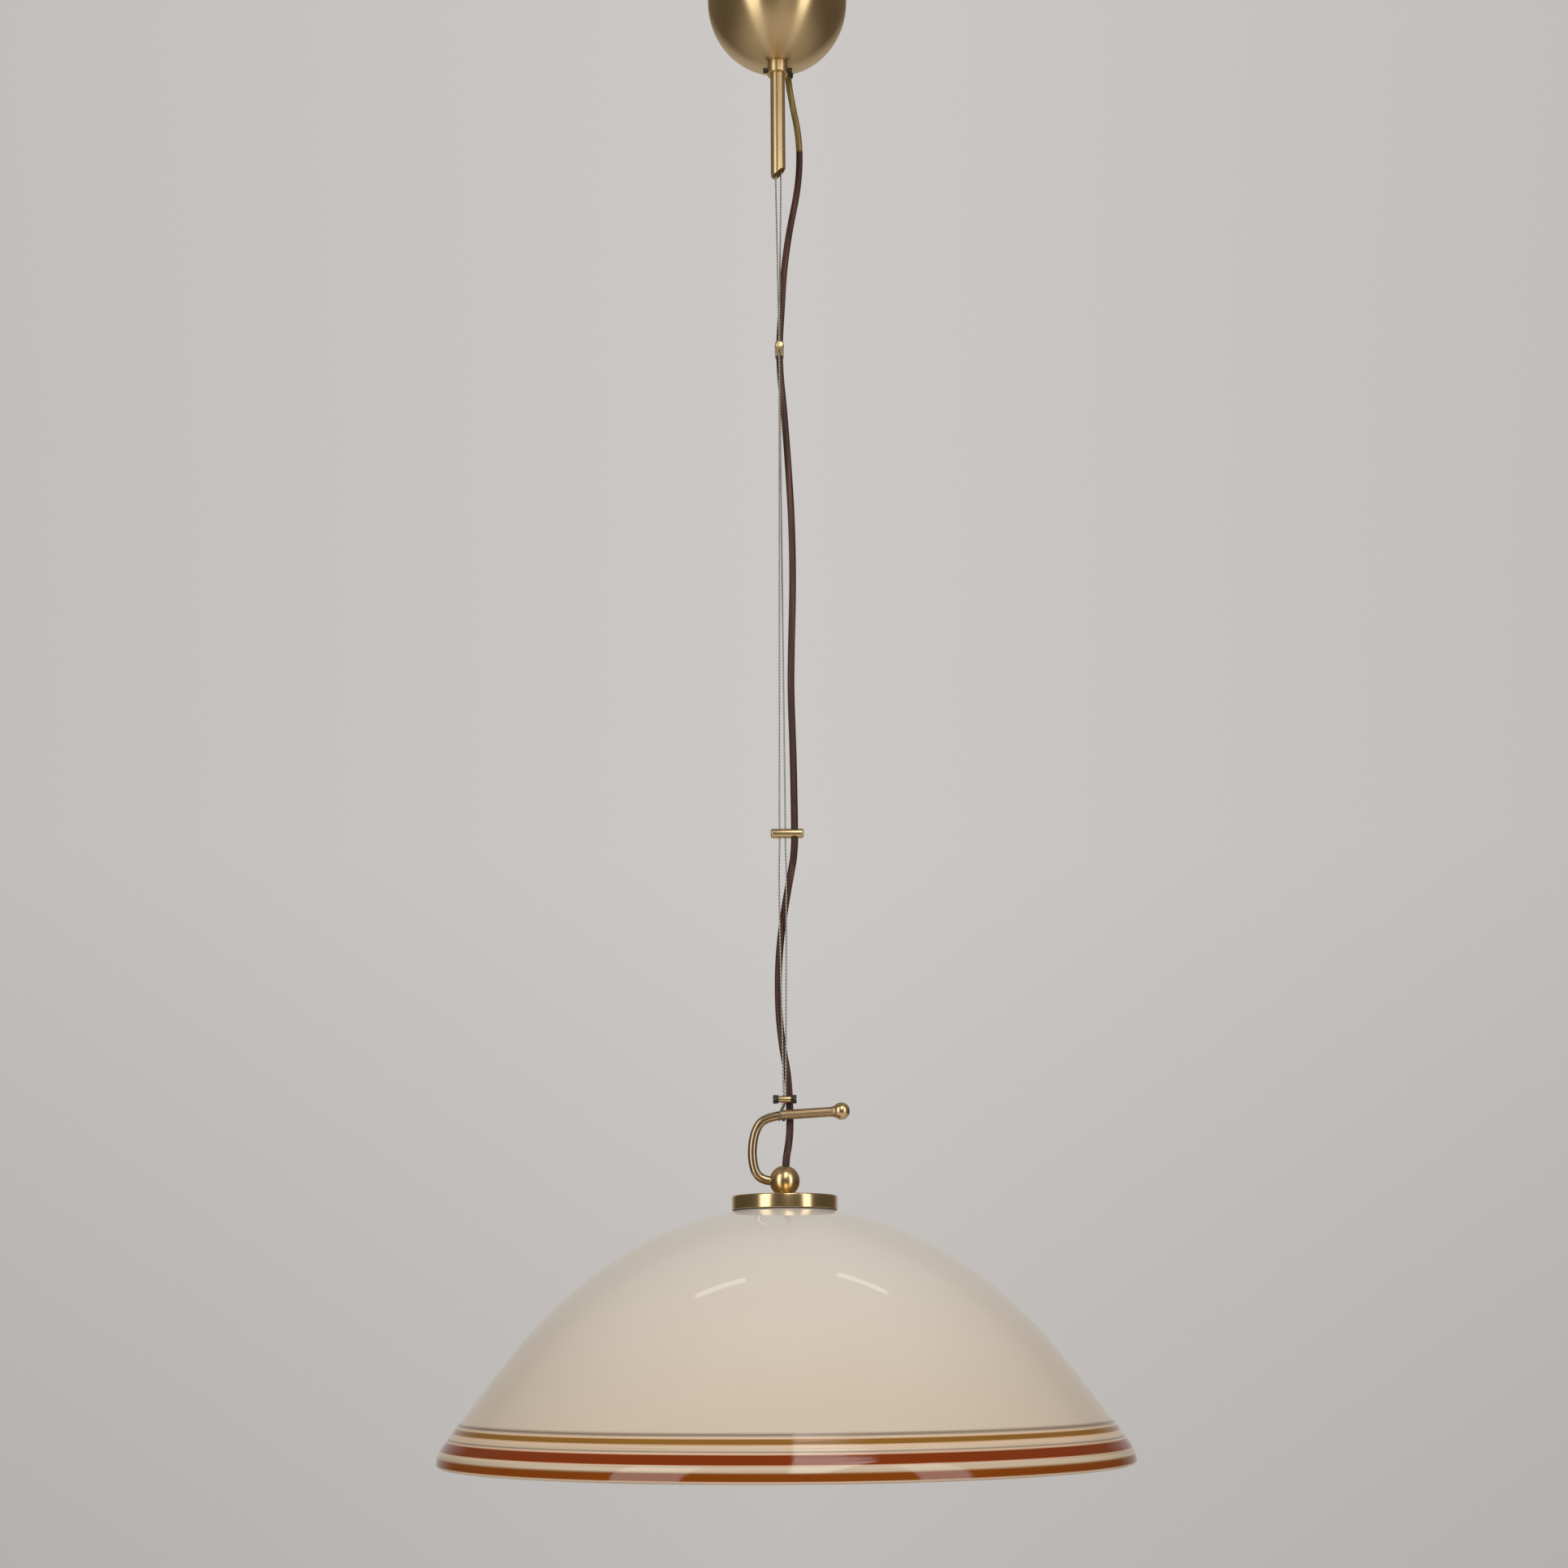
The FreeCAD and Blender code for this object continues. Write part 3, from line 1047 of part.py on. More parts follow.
def main():
    os.makedirs("parts", exist_ok=True)
    save("ceiling_strap", ceiling_strap())
    save("reel_frame", reel_frame())
    save("frame_screws", *frame_screws())
    save("reel_axle", reel_axle())
    save("axle_clips", *axle_clips())
    save("spring_arbor", spring_arbor())
    save("spiral_spring", spiral_spring())
    save("reel_drum", reel_drum())
    save("drum_cover", drum_cover())
    save("cover_screws", *cover_screws())
    save("axle_bushes", *axle_bushes())
    save("drum_wire_turns", *drum_wire_turns())
    save("wire_leads", *wire_leads())
    save("brake_leaf", brake_leaf())
    save("brake_pad", brake_pad())
    save("brake_screw", brake_screw())
    save("leaf_rivet", leaf_rivet())
    save("canopy_bowl", canopy_bowl())
    save("stem_tube", stem_tube())
    save("stem_nuts", *stem_nuts())
    save("wire_guide", wire_guide())
    save("canopy_collar", canopy_collar())
    save("collar_screws", *collar_screws())
    save("cord_bush", cord_bush())
    save("terminal_block", terminal_block())
    save("terminal_screws", *terminal_screws())
    save("cord_clip", cord_clip())
    save("clip_screw", clip_screw())
    save_cord("flex_inside", FLEX_INSIDE_ROUTE, FLEX_D)
    save_cord("flex_run", flex_route(), FLEX_D)
    save_cord("flex_tail", hung(CLAMP_DEPTH, -BALL_Z, FLEX_TO_BALL), FLEX_D)
    save("suspension_wires", *suspension_wires())
    save("upper_spacer_bar", spacer_bar(UPPER_BAR_DEPTH, V(0, 1, 0)))
    save("lower_spacer_bar", spacer_bar(LOWER_BAR_DEPTH, V(1, 0, 0)))
    save("clamp_barrel", clamp_barrel())
    save("clamp_screws", *clamp_screws())
    save("wire_eye", wire_eye())
    save("hook_rod", hook_rod())
    save("hook_arm", hook_arm())
    save("arm_stop_screw", arm_stop_screw())
    save("handle_ball", handle_ball())
    save("junction_ball", junction_ball())
    save("ball_washer", ball_washer())
    save("disc_cap", disc_cap())
    save("disc_seal", disc_seal())
    save("glass_shade", glass_shade())
    save("nipple", nipple())
    save("spacer_sleeve", spacer_sleeve())
    save("upper_washer", upper_washer())
    save("lower_washer", lower_washer())
    save("support_plate", support_plate())
    save("clamp_nut", clamp_nut())
    save("lampholder_cap", lampholder_cap())
    save("lampholder_core", lampholder_core())
    save("lampholder_skirt", lampholder_skirt())
    save("socket_shell", socket_shell())
    save("centre_contact", centre_contact())
    save("holder_terminals", *terminal_pair())


main()
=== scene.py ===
"""A rise and fall pendant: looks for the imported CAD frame, laid out as an add-on and run as a script."""

import json
import math

import bpy
from mathutils import Matrix, Vector

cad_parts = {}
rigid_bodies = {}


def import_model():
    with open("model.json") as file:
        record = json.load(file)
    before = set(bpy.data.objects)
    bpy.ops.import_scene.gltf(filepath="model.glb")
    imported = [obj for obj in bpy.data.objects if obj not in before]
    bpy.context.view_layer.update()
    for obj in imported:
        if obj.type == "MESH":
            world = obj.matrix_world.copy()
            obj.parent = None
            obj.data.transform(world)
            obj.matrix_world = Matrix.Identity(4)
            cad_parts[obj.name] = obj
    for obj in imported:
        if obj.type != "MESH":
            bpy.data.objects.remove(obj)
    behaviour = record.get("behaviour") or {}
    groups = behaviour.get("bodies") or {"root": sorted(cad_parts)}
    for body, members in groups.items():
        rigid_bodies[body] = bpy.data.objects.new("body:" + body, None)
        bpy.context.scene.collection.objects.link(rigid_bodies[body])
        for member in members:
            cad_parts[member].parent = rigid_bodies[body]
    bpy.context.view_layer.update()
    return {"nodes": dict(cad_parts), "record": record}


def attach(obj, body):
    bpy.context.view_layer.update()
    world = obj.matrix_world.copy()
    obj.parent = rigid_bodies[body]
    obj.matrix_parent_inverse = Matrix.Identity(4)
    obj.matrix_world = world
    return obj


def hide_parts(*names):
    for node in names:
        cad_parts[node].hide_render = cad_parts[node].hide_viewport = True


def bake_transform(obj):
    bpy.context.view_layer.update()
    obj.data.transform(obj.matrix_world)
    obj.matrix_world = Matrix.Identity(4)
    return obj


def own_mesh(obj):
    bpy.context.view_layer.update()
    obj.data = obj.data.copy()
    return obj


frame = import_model()

bl_info = {
    "name": "Rise and fall pendant",
    "version": (1, 0, 0),
    "blender": (4, 5, 0),
    "location": "View3D > Sidebar > Pendant",
    "description": "Builds the glass, metal and cords of a rise and fall pendant round its CAD frame",
    "category": "Object",
}

MM = 0.001

# Heights in millimetres, with the ceiling at 0, as the frame has them
BOWL_CENTRE_Z = -30.0
STEM_TOP_Z = -54.0
COLLAR_TOP_Z = -89.64
SET_SCREW_Z = -96.24
COLLAR_LOW_Z = -100.64
ANCHOR_Z = -102.0
STEM_END_Z = -198.0
UPPER_BAR_Z = -358.0
LOWER_BAR_Z = -771.0
EYE_TOP_Z = -973.8
CLAMP_Z = -977.0
EYE_FORK_Z = -981.2
EYE_Z = -988.9
BALL_Z = -1037.77
DISC_TOP_Z = -1048.8
GLASS_TOP_Z = -1056.407
DISC_LOW_Z = -1059.1

# Radii, places from the middle and other sizes, in millimetres
BOWL_R, BOWL_INNER_R, BOWL_HOLE_R = 60.0, 59.0, 6.6
STEM_R, STEM_BORE_R = 6.25, 5.25
COLLAR_R, COLLAR_BORE_R = 8.8, 6.3
BAR_R, BAR_BORE_R, BAR_LENGTH, BAR_OVERHANG = 3.75, 0.6, 25.6, 9.1
WIRE_X, WIRE_HOLE_R, WIRE_STRAIGHT = 2.25, 0.9, 14.0
FLEX_HOLE_X, FLEX_HOLE_R = 9.5, 3.1
CLAMP_X, CLAMP_R, CLAMP_HALF, CLAMP_WIRE_X = 0.5, 2.6, 4.7, 0.75
EYE_X = -3.7
ARM_START_X = -2.6
HANDLE_X, HANDLE_R, HANDLE_FLAT_R = 43.0, 6.5, 4.6
BALL_R = 11.5
KNURL_SIDES, LIP_PARTS = 40, 12
DISC_R, DISC_SHEET = 39.5, 1.5
GLASS_WALL, GLASS_HOLE_R, RIM_HEIGHT = 3.5, 6.0, 32.0
ARM_RISE = math.radians(3.4)
ARM_AXIS = (math.cos(ARM_RISE), 0.0, math.sin(ARM_RISE))

# The hook's corners from the ball up: X, and the share of the way up to the eye's height
HOOK_CORNERS = ((-6.5, 0.0), (-19.4, 0.0), (-24.9, 0.338), (-22.6, 0.767))
# The shade's tangent arcs from the crown to the lip: radius in millimetres and sweep in degrees
SHADE_ARCS = ((226.5, 27.8), (292.0, 23.3), (1145.0, 4.2), (21.3, 32.7))
# Keeps the turned shade inside the box of the CAD's one
INSIDE_BOX = 0.9995

# The flex in the canopy, then its stretches below: X, Y and the share of the way down each stretch
FLEX_INSIDE = [
    (19.2, 24.0, -47.0), (19.2, 24.0, -62.0), (9.0, 24.0, -73.5), (9.0, 24.0, -90.0),
    (10.8, 24.15, -102.0)]
FLEX_TO_UPPER_BAR = [
    (10.8, 24.15, 0.0), (12.6, 24.3, 0.047), (17.4, 23.8, 0.152), (18.8, 22.3, 0.258),
    (16.6, 19.8, 0.383), (8.4, 16.2, 0.555), (3.8, 13.0, 0.711), (2.2, 10.4, 0.836),
    (0.2, 9.5, 0.945)]
FLEX_TO_LOWER_BAR = [
    (0.2, 9.5, 0.034), (3.4, 9.0, 0.121), (6.6, 8.0, 0.237), (9.2, 6.6, 0.363),
    (9.8, 5.0, 0.494), (8.2, 3.4, 0.62), (7.3, 2.0, 0.717), (8.8, 0.7, 0.833),
    (9.5, 0.0, 0.964)]
FLEX_TO_CLAMP = [
    (9.5, 0.0, 0.073), (5.6, 3.2, 0.17), (0.6, 4.5, 0.306), (-3.6, 4.8, 0.471),
    (-4.1, 4.7, 0.655), (-1.2, 5.6, 0.801), (3.4, 7.2, 0.917), (4.0, 7.3, 1.0)]
FLEX_TO_BALL = [
    (4.0, 7.3, 0.0), (4.6, 7.4, 0.28), (3.4, 3.8, 0.543), (0.8, 0.0, 0.757),
    (0.8, 0.0, 0.971)]


def hung(top, low, places):
    """Points between two heights, each from its X, its Y and its share of the way down."""
    return [(x, y, top + share * (low - top)) for x, y, share in places]


FLEX_RUN = (hung(ANCHOR_Z, UPPER_BAR_Z, FLEX_TO_UPPER_BAR)
            + hung(UPPER_BAR_Z, LOWER_BAR_Z, FLEX_TO_LOWER_BAR)
            + hung(LOWER_BAR_Z, CLAMP_Z, FLEX_TO_CLAMP))
FLEX_TAIL = hung(CLAMP_Z, BALL_Z, FLEX_TO_BALL)

# The photo's camera, from the shade's ellipse: pixels, degrees and metres
PHOTO_WIDTH, FOCAL_LENGTH, SENSOR_WIDTH = 1932.0, 2600.0, 36.0
CAMERA_PITCH, CAMERA_ROLL = 14.74, -0.38
CAMERA_X, CAMERA_Z = 0.0015, -1.152

# The light panels: name, place, target and size in metres, watts and tint
COOL, WARM = (0.95, 0.98, 1.0), (1.0, 0.98, 0.95)
PANELS = (
    ("window_left", (-2.2, -2.35, -0.25), (0.0, 0.0, -0.9), (1.35, 3.7), 39.0, COOL),
    ("window_right", (2.4, -2.1, -0.25), (0.0, 0.0, -0.9), (1.0, 3.7), 30.0, COOL),
    ("ceiling_panel", (0.35, -2.0, 0.25), (0.35, -2.0, -1.0), (0.6, 2.4), 18.0, WARM),
    ("strip_left", (-0.82, 0.67, 1.87), (-0.82, 0.67, -1.0), (0.66, 0.13), 0.5, WARM),
    ("strip_right", (0.98, 0.89, 1.87), (0.98, 0.89, -1.0), (0.66, 0.13), 0.5, WARM),
)


# ---------------------------------------------------------------- properties

def colour(name, description, default):
    """A colour to set in the panel."""
    return bpy.props.FloatVectorProperty(
        name=name, description=description, default=default, subtype="COLOR", size=3, min=0.0, max=1.0)


def length(name, description, default):
    """A length to set in the panel, in metres."""
    return bpy.props.FloatProperty(
        name=name, description=description, default=default, unit="LENGTH", subtype="DISTANCE", min=0.0)


class PendantGlass(bpy.types.PropertyGroup):
    # Painted light: the crown colour is lighter and the flank colour darker and warmer, for how light falls
    # on and through the shade
    opal_lit_crown: colour("Opal at the crown", "Colour of the opal glass near the disc", (0.685, 0.65, 0.59))
    opal_shaded_flank: colour("Opal at the flank", "Colour of the opal glass above the stripes", (0.58, 0.485, 0.378))
    clear: colour("Clear glass", "Colour of the clear glass between the stripes", (0.67, 0.535, 0.385))
    amber: colour("Amber stripe", "Colour of the upper stripe", (0.25, 0.115, 0.016))
    russet: colour("Russet stripe", "Colour of the middle stripe", (0.20, 0.027, 0.0))
    lip: colour("Lip stripe", "Colour of the stripe on the lip", (0.22, 0.048, 0.002))
    rim_start: length("Start of the clear rim", "Height above the lip where the opal glass ends", 0.0315)


class PendantMetal(bpy.types.PropertyGroup):
    satin_brass: colour("Satin brass", "Colour of the canopy, stem, disc and balls", (0.78, 0.585, 0.33))
    rod_brass: colour("Rod brass", "Colour of the hook and its arm", (0.55, 0.40, 0.24))
    dark_steel: colour("Blackened steel", "Colour of the set screws and clamp screws", (0.10, 0.085, 0.07))
    wire: colour("Wire", "Colour of the two suspension wires", (0.36, 0.33, 0.28))
    groove_pitch: length("Brush line pitch", "Distance between brush lines on the turned pieces", 0.0004)


class PendantCord(bpy.types.PropertyGroup):
    sheath: colour("Flex", "Colour of the flex", (0.046, 0.017, 0.013))
    sheath_warm: colour("Flex, warm streaks", "Colour of the streaks in the flex", (0.125, 0.052, 0.030))
    # Painted highlight: this golden colour on the first stretch stands in for light caught on the flex near
    # the canopy
    top: colour("Flex at the canopy", "Colour of the flex's first stretch", (0.42, 0.29, 0.11))
    diameter: length("Flex diameter", "Outside diameter of the flex", 0.0056)
    wire_diameter: length("Wire diameter", "Diameter of a suspension wire", 0.0012)


class PendantStage(bpy.types.PropertyGroup):
    wall: colour("Backdrop", "Colour behind the pendant", (0.545, 0.525, 0.51))
    floor: colour("Floor", "Colour of the floor", (0.60, 0.58, 0.55))
    distance: length("Camera distance", "From the camera to the pendant's axis", 1.6)


# ---------------------------------------------------------------- shader writing

# The Mix node has sockets of one name for numbers, vectors and colours: these are the colours'
MIX_FIRST, MIX_SECOND, MIX_RESULT = 6, 7, 2

# What the noise adds to a metal's roughness on average
MEAN_CLOUD = 0.07

# Depth of the relief, in metres: brush lines, plated grain, moulded skin, a wire's strands,
# the cores under the flex's sheath (and streaks in the rim), and waves in blown glass
LINE_DEPTH, GRAIN_DEPTH, SKIN_DEPTH = 8e-6, 3e-5, 4e-5
LAY_DEPTH, CORE_DEPTH, WAVE_DEPTH = 1.5e-4, 2e-4, 6e-4

# How far below the ceiling the painted golden highlight on the flex's first stretch ends, in metres
PAINTED_HIGHLIGHT_DEPTH = 0.163


class Signal:
    """A shader socket in a Python expression: each operator adds its Math node."""

    def __init__(self, look, socket):
        self.look = look
        self.socket = socket

    def math(self, operation, *others):
        """One Math node, with this signal as its first value."""
        return self.look.add("ShaderNodeMath", {"operation": operation}, dict(enumerate((self,) + others)))

    def __add__(self, other):
        return self.math("ADD", other)

    def __mul__(self, other):
        return self.math("MULTIPLY", other)

    def __sub__(self, other):
        return self.math("SUBTRACT", other)

    def __rsub__(self, other):
        return self.look.add("ShaderNodeMath", {"operation": "SUBTRACT"}, {0: other, 1: self})

    def __truediv__(self, other):
        return self.math("DIVIDE", other)

    def clamped(self):
        """The signal kept between 0 and 1."""
        return self.look.add("ShaderNodeClamp", None, {"Value": self})


class Look:
    """A material or a world under construction."""

    def __init__(self, name, store=None):
        self.material = (bpy.data.materials if store is None else store).new(name)
        self.material.use_nodes = True
        self.tree = self.material.node_tree
        self.tree.nodes.clear()

    def add(self, kind, settings=None, inputs=None, output=0):
        """Adds a node: its settings first, then the values or links of its sockets."""
        node = self.tree.nodes.new(kind)
        for name, value in (settings or {}).items():
            if name == "stops":
                ramp = node.color_ramp
                while len(ramp.elements) < len(value):
                    ramp.elements.new(1.0)
                for element, (position, tone) in zip(ramp.elements, value):
                    element.position = position
                    element.color = tuple(tone) + (1.0,)
            elif name == "interpolation":
                node.color_ramp.interpolation = value
            else:
                setattr(node, name, value)
        for name, value in (inputs or {}).items():
            if isinstance(value, Signal):
                self.tree.links.new(value.socket, node.inputs[name])
            else:
                node.inputs[name].default_value = value
        return Signal(self, node.outputs[output])

    def split(self, vector):
        """The three parts of a vector."""
        node = self.add("ShaderNodeSeparateXYZ", None, {"Vector": vector}).socket.node
        return [Signal(self, socket) for socket in node.outputs]

    def place(self):
        """Object coordinates and their three parts."""
        place = self.add("ShaderNodeTexCoord", output="Object")
        return place, self.split(place)

    def vector(self, x, y, z):
        """A vector of three numbers or signals."""
        return self.add("ShaderNodeCombineXYZ", None, {"X": x, "Y": y, "Z": z})

    def noise(self, vector, scale, detail=3.0, roughness=0.5):
        """Noise about 0.5 on average."""
        return self.add("ShaderNodeTexNoise", None,
                        {"Vector": vector, "Scale": scale, "Detail": detail, "Roughness": roughness})

    def blend(self, factor, first, second):
        """A colour between two colours."""
        tones = [value if isinstance(value, Signal) else tuple(value) + (1.0,) for value in (first, second)]
        settings = {"data_type": "RGBA", "blend_type": "MIX"}
        values = {"Factor": factor, MIX_FIRST: tones[0], MIX_SECOND: tones[1]}
        return self.add("ShaderNodeMix", settings, values, output=MIX_RESULT)

    def bump(self, height, distance, strength):
        """A normal for relief of a height signal, with its distance in metres."""
        values = {"Height": height, "Distance": distance, "Strength": strength}
        return self.add("ShaderNodeBump", None, values)

    def finish(self, **sockets):
        """Adds the surface shader with the values or links of its sockets."""
        values = {}
        for name, value in sockets.items():
            values[name.replace("_", " ").title().replace("Ior", "IOR")] = value
        self.add_output("ShaderNodeOutputMaterial", self.add("ShaderNodeBsdfPrincipled", None, values))
        return self.material

    def add_output(self, kind, surface):
        """Adds the output node of a material or world."""
        end = self.tree.nodes.new(kind)
        self.tree.links.new(surface.socket, end.inputs["Surface"])


def rgb(value):
    """A colour property as three numbers."""
    return tuple(value[:3])


def toned(base, factor):
    """A darker or lighter tone of a colour."""
    return tuple(min(1.0, part * factor) for part in base)


def turned_metal(name, base, roughness, pitch, axis="Z", centre=(0.0, 0.0, 0.0),
                 anisotropy=0.0, depth=0.4, cloudy=0.08):
    """Metal with fine lines that run round an axis, as turning and brushing leave them."""
    look = Look(name)
    place, parts = look.place()
    along = "XYZ".index(axis)
    others = [i for i in range(3) if i != along]
    out = [parts[i] - centre[i] * MM for i in others]
    radius = (out[0] * out[0] + out[1] * out[1]).math("SQRT")
    rings = look.vector(radius, 0.0, parts[along])
    lines = look.noise(rings, 1.0 / pitch, 4.0, 0.65)
    cloud = look.noise(place, 38.0, 4.0)
    stains = look.noise(place, 9.0, 2.0)
    dull = tuple(part * share for part, share in zip(base, (0.84, 0.79, 0.72)))
    body = look.blend(cloud * 0.5 + stains * 0.5, dull, toned(base, 1.08))
    body = look.blend(((lines - 0.40) * 0.4).clamped(), body, toned(base, 0.62))
    return look.finish(
        base_color=body, metallic=1.0, roughness=cloud * cloudy + (lines * 0.06 + (roughness - MEAN_CLOUD)),
        anisotropic=anisotropy, anisotropic_rotation=0.25, normal=look.bump(lines, LINE_DEPTH, depth))


def plain_metal(name, base, roughness, depth=0.35, cloudy=0.14):
    """Plated or cast metal with a fine even grain."""
    look = Look(name)
    place, _ = look.place()
    fine = look.noise(place, 900.0, 3.0)
    cloud = look.noise(place, 60.0, 4.0)
    return look.finish(
        base_color=look.blend(cloud, toned(base, 0.82), toned(base, 1.08)), metallic=1.0,
        roughness=cloud * cloudy + (roughness - MEAN_CLOUD), normal=look.bump(fine, GRAIN_DEPTH, depth))


def moulded(name, base, roughness, sheen=0.0, grain=1400.0):
    """Moulded plastic, rubber or felt."""
    look = Look(name)
    place, _ = look.place()
    fine = look.noise(place, grain, 2.0)
    cloud = look.noise(place, 45.0, 3.0)
    return look.finish(
        base_color=look.blend(cloud, toned(base, 0.86), toned(base, 1.10)), metallic=0.0,
        roughness=fine * 0.10 + (roughness - 0.05), coat_weight=sheen, coat_roughness=0.15,
        normal=look.bump(fine, SKIN_DEPTH, 0.3))


def stranded_wire(name, base):
    """Thin wire rope: short slanting strands along its length."""
    look = Look(name)
    place, (x, y, z) = look.place()
    lay = ((z * 2400.0 + x * 1500.0) + y * 1500.0).math("SINE") * 0.5 + 0.5
    return look.finish(
        base_color=look.blend(lay, toned(base, 0.45), base), metallic=1.0,
        roughness=look.noise(place, 80.0) * 0.2 + 0.25, normal=look.bump(lay, LAY_DEPTH, 0.8))


def flex_sheath(name, dark, warm, top):
    """Smooth sheath over twisted cores: warm streaks where they show through, and a painted golden highlight
    on the first stretch.
    """
    look = Look(name)
    place, (x, y, z) = look.place()
    streaks = look.noise(look.vector(x * 300.0, y * 300.0, z * 9.0), 1.0, 3.0, 0.6)
    body = look.blend(((streaks - 0.46) * 4.0).clamped(), dark, warm)
    # Painted highlight: the first stretch below the ceiling turns golden and partly metallic
    painted_highlight = look.blend(((streaks - 0.40) * 3.0).clamped(), top, toned(top, 0.3))
    above = ((z + PAINTED_HIGHLIGHT_DEPTH + (streaks - 0.5) * 0.008) * 400.0).clamped()
    return look.finish(
        base_color=look.blend(above, body, painted_highlight), metallic=above * 0.75, specular_ior_level=0.3,
        roughness=look.noise(place, 500.0) * 0.12 + 0.34, normal=look.bump(streaks, CORE_DEPTH, 0.5))


def opal_glass(name, glass):
    """Opal glass: milky, with painted light: lighter at the crown and darker and warmer towards the rim,
    under a fire-polished skin.
    """
    look = Look(name)
    place, (x, y, z) = look.place()
    fade = 150.0
    height = (z - (GLASS_TOP_Z - fade) * MM) / (fade * MM)
    cloud = look.noise(place, 5.5, 4.0, 0.55)
    # Painted light: lighter towards the crown and darker towards the rim, with random cloud on top
    crown_light_and_cloud = (height * 0.9 + (cloud - 0.5) * 0.35).math("MAXIMUM", 0.0).math("MINIMUM", 1.0)
    body = look.blend(crown_light_and_cloud, rgb(glass.opal_shaded_flank), rgb(glass.opal_lit_crown))
    seeds = look.noise(look.vector(x, y, z * 3.0), 260.0, 2.0, 0.4)
    body = look.blend((seeds - 0.60) * 0.5, body, rgb(glass.opal_shaded_flank))
    waves = look.noise(place, 14.0, 1.0)
    return look.finish(base_color=body, roughness=cloud * 0.03 + 0.02, ior=1.5,
                       normal=look.bump(waves, WAVE_DEPTH, 0.25))


def striped_rim(name, glass, low):
    """The clear rim with its drawn stripes: thin pale lines edge each one as painted highlights, and a grey
    line under the opal is painted shadow.
    """
    look = Look(name)
    _, (x, y, z) = look.place()
    drift = look.noise(look.vector(x * 2.2, y * 2.2, 0.0), 1.0, 2.0) - 0.5
    level = ((z - low * MM) + drift * 0.0012) / (RIM_HEIGHT * MM)
    opal, clear, amber = rgb(glass.opal_shaded_flank), rgb(glass.clear), rgb(glass.amber)
    russet, lip = rgb(glass.russet), rgb(glass.lip)
    # Painted shadow: the grey just under the opal (0.885 to 0.905); the grey at 0.590 is the clear glass's
    # tint
    pale, grey_tint_and_shadow = (0.74, 0.55, 0.38), (0.27, 0.20, 0.15)
    peach, tan = (0.70, 0.45, 0.29), (0.36, 0.22, 0.11)
    # Painted highlights: the pale lines along the stripes' edges and at the lip's bottom
    stops = [
        (0.000, pale), (0.045, pale), (0.068, lip), (0.195, lip), (0.215, tan), (0.245, clear),
        (0.330, clear), (0.345, peach), (0.362, russet), (0.530, russet), (0.547, peach), (0.565, pale),
        (0.590, grey_tint_and_shadow), (0.615, clear), (0.690, pale), (0.712, peach), (0.730, amber), (0.810, amber),
        (0.828, peach), (0.850, clear), (0.885, grey_tint_and_shadow), (0.905, grey_tint_and_shadow), (0.945, opal), (1.000, opal)]
    bands = look.add("ShaderNodeValToRGB", {"interpolation": "LINEAR", "stops": stops}, {"Fac": level})
    streaks = look.noise(look.vector(x * 5.0, y * 5.0, z * 900.0), 1.0, 3.0, 0.6)
    body = look.blend(((streaks - 0.46) * 0.9).clamped(), bands, (0.10, 0.030, 0.006))
    opaque = [
        (0.000, 0.80), (0.068, 0.99), (0.195, 0.99), (0.245, 0.86), (0.330, 0.86), (0.362, 0.99),
        (0.530, 0.99), (0.565, 0.86), (0.690, 0.86), (0.730, 0.98), (0.810, 0.98), (0.850, 0.92),
        (0.905, 0.97), (0.945, 1.0)]
    stops = [(position, (value,) * 3) for position, value in opaque]
    opacity = look.add("ShaderNodeValToRGB", {"stops": stops}, {"Fac": level})
    return look.finish(base_color=body, roughness=streaks * 0.04 + 0.01, alpha=opacity, ior=1.5,
                       normal=look.bump(streaks, CORE_DEPTH, 0.25))


# ---------------------------------------------------------------- modelling helpers

def clear_selection():
    """Leaves edit mode and selects nothing."""
    if bpy.context.object is not None and bpy.context.object.mode != "OBJECT":
        bpy.ops.object.mode_set(mode="OBJECT")
    for piece in bpy.context.view_layer.objects:
        piece.select_set(False)


def select_only(piece):
    """Makes a piece the only selected and the active one."""
    clear_selection()
    piece.hide_set(False)
    piece.select_set(True)
    bpy.context.view_layer.objects.active = piece


def tidy_mesh(piece, doubles, fill, angle):
    """Merges doubles, closes open ends, points the faces outwards and smooths all but the sharp edges."""
    select_only(piece)
    bpy.ops.object.mode_set(mode="EDIT")
    bpy.ops.mesh.select_all(action="SELECT")
    bpy.ops.mesh.remove_doubles(threshold=doubles)
    if fill:
        bpy.ops.mesh.select_all(action="SELECT")
        bpy.ops.mesh.fill_holes(sides=0)
    bpy.ops.mesh.select_all(action="SELECT")
    bpy.ops.mesh.normals_make_consistent(inside=False)
    bpy.ops.object.mode_set(mode="OBJECT")
    bpy.ops.object.shade_smooth_by_angle(angle=math.radians(angle))
    return piece


def rounded(points, radii, loop=False, step=12.0):
    """Rounds the corners of an outline of (radius, height) points, each with its own corner radius."""
    outline = []
    count = len(points)
    for i, (point, radius) in enumerate(zip(points, radii)):
        here = Vector(point)
        if radius <= 0 or (not loop and i in (0, count - 1)):
            outline.append(tuple(here))
            continue
        back = (Vector(points[i - 1]) - here).normalized()
        ahead = (Vector(points[(i + 1) % count]) - here).normalized()
        opening = back.angle(ahead)
        reach = radius / math.tan(opening / 2)
        centre = here + (back + ahead).normalized() * (radius / math.sin(opening / 2))
        start, end = here + back * reach - centre, here + ahead * reach - centre
        swing = start.angle_signed(end)
        parts = max(2, int(abs(math.degrees(swing)) / step) + 1)
        for k in range(parts + 1):
            turn = Matrix.Rotation(-swing * k / parts, 2)
            outline.append(tuple(centre + turn @ start))
    return outline


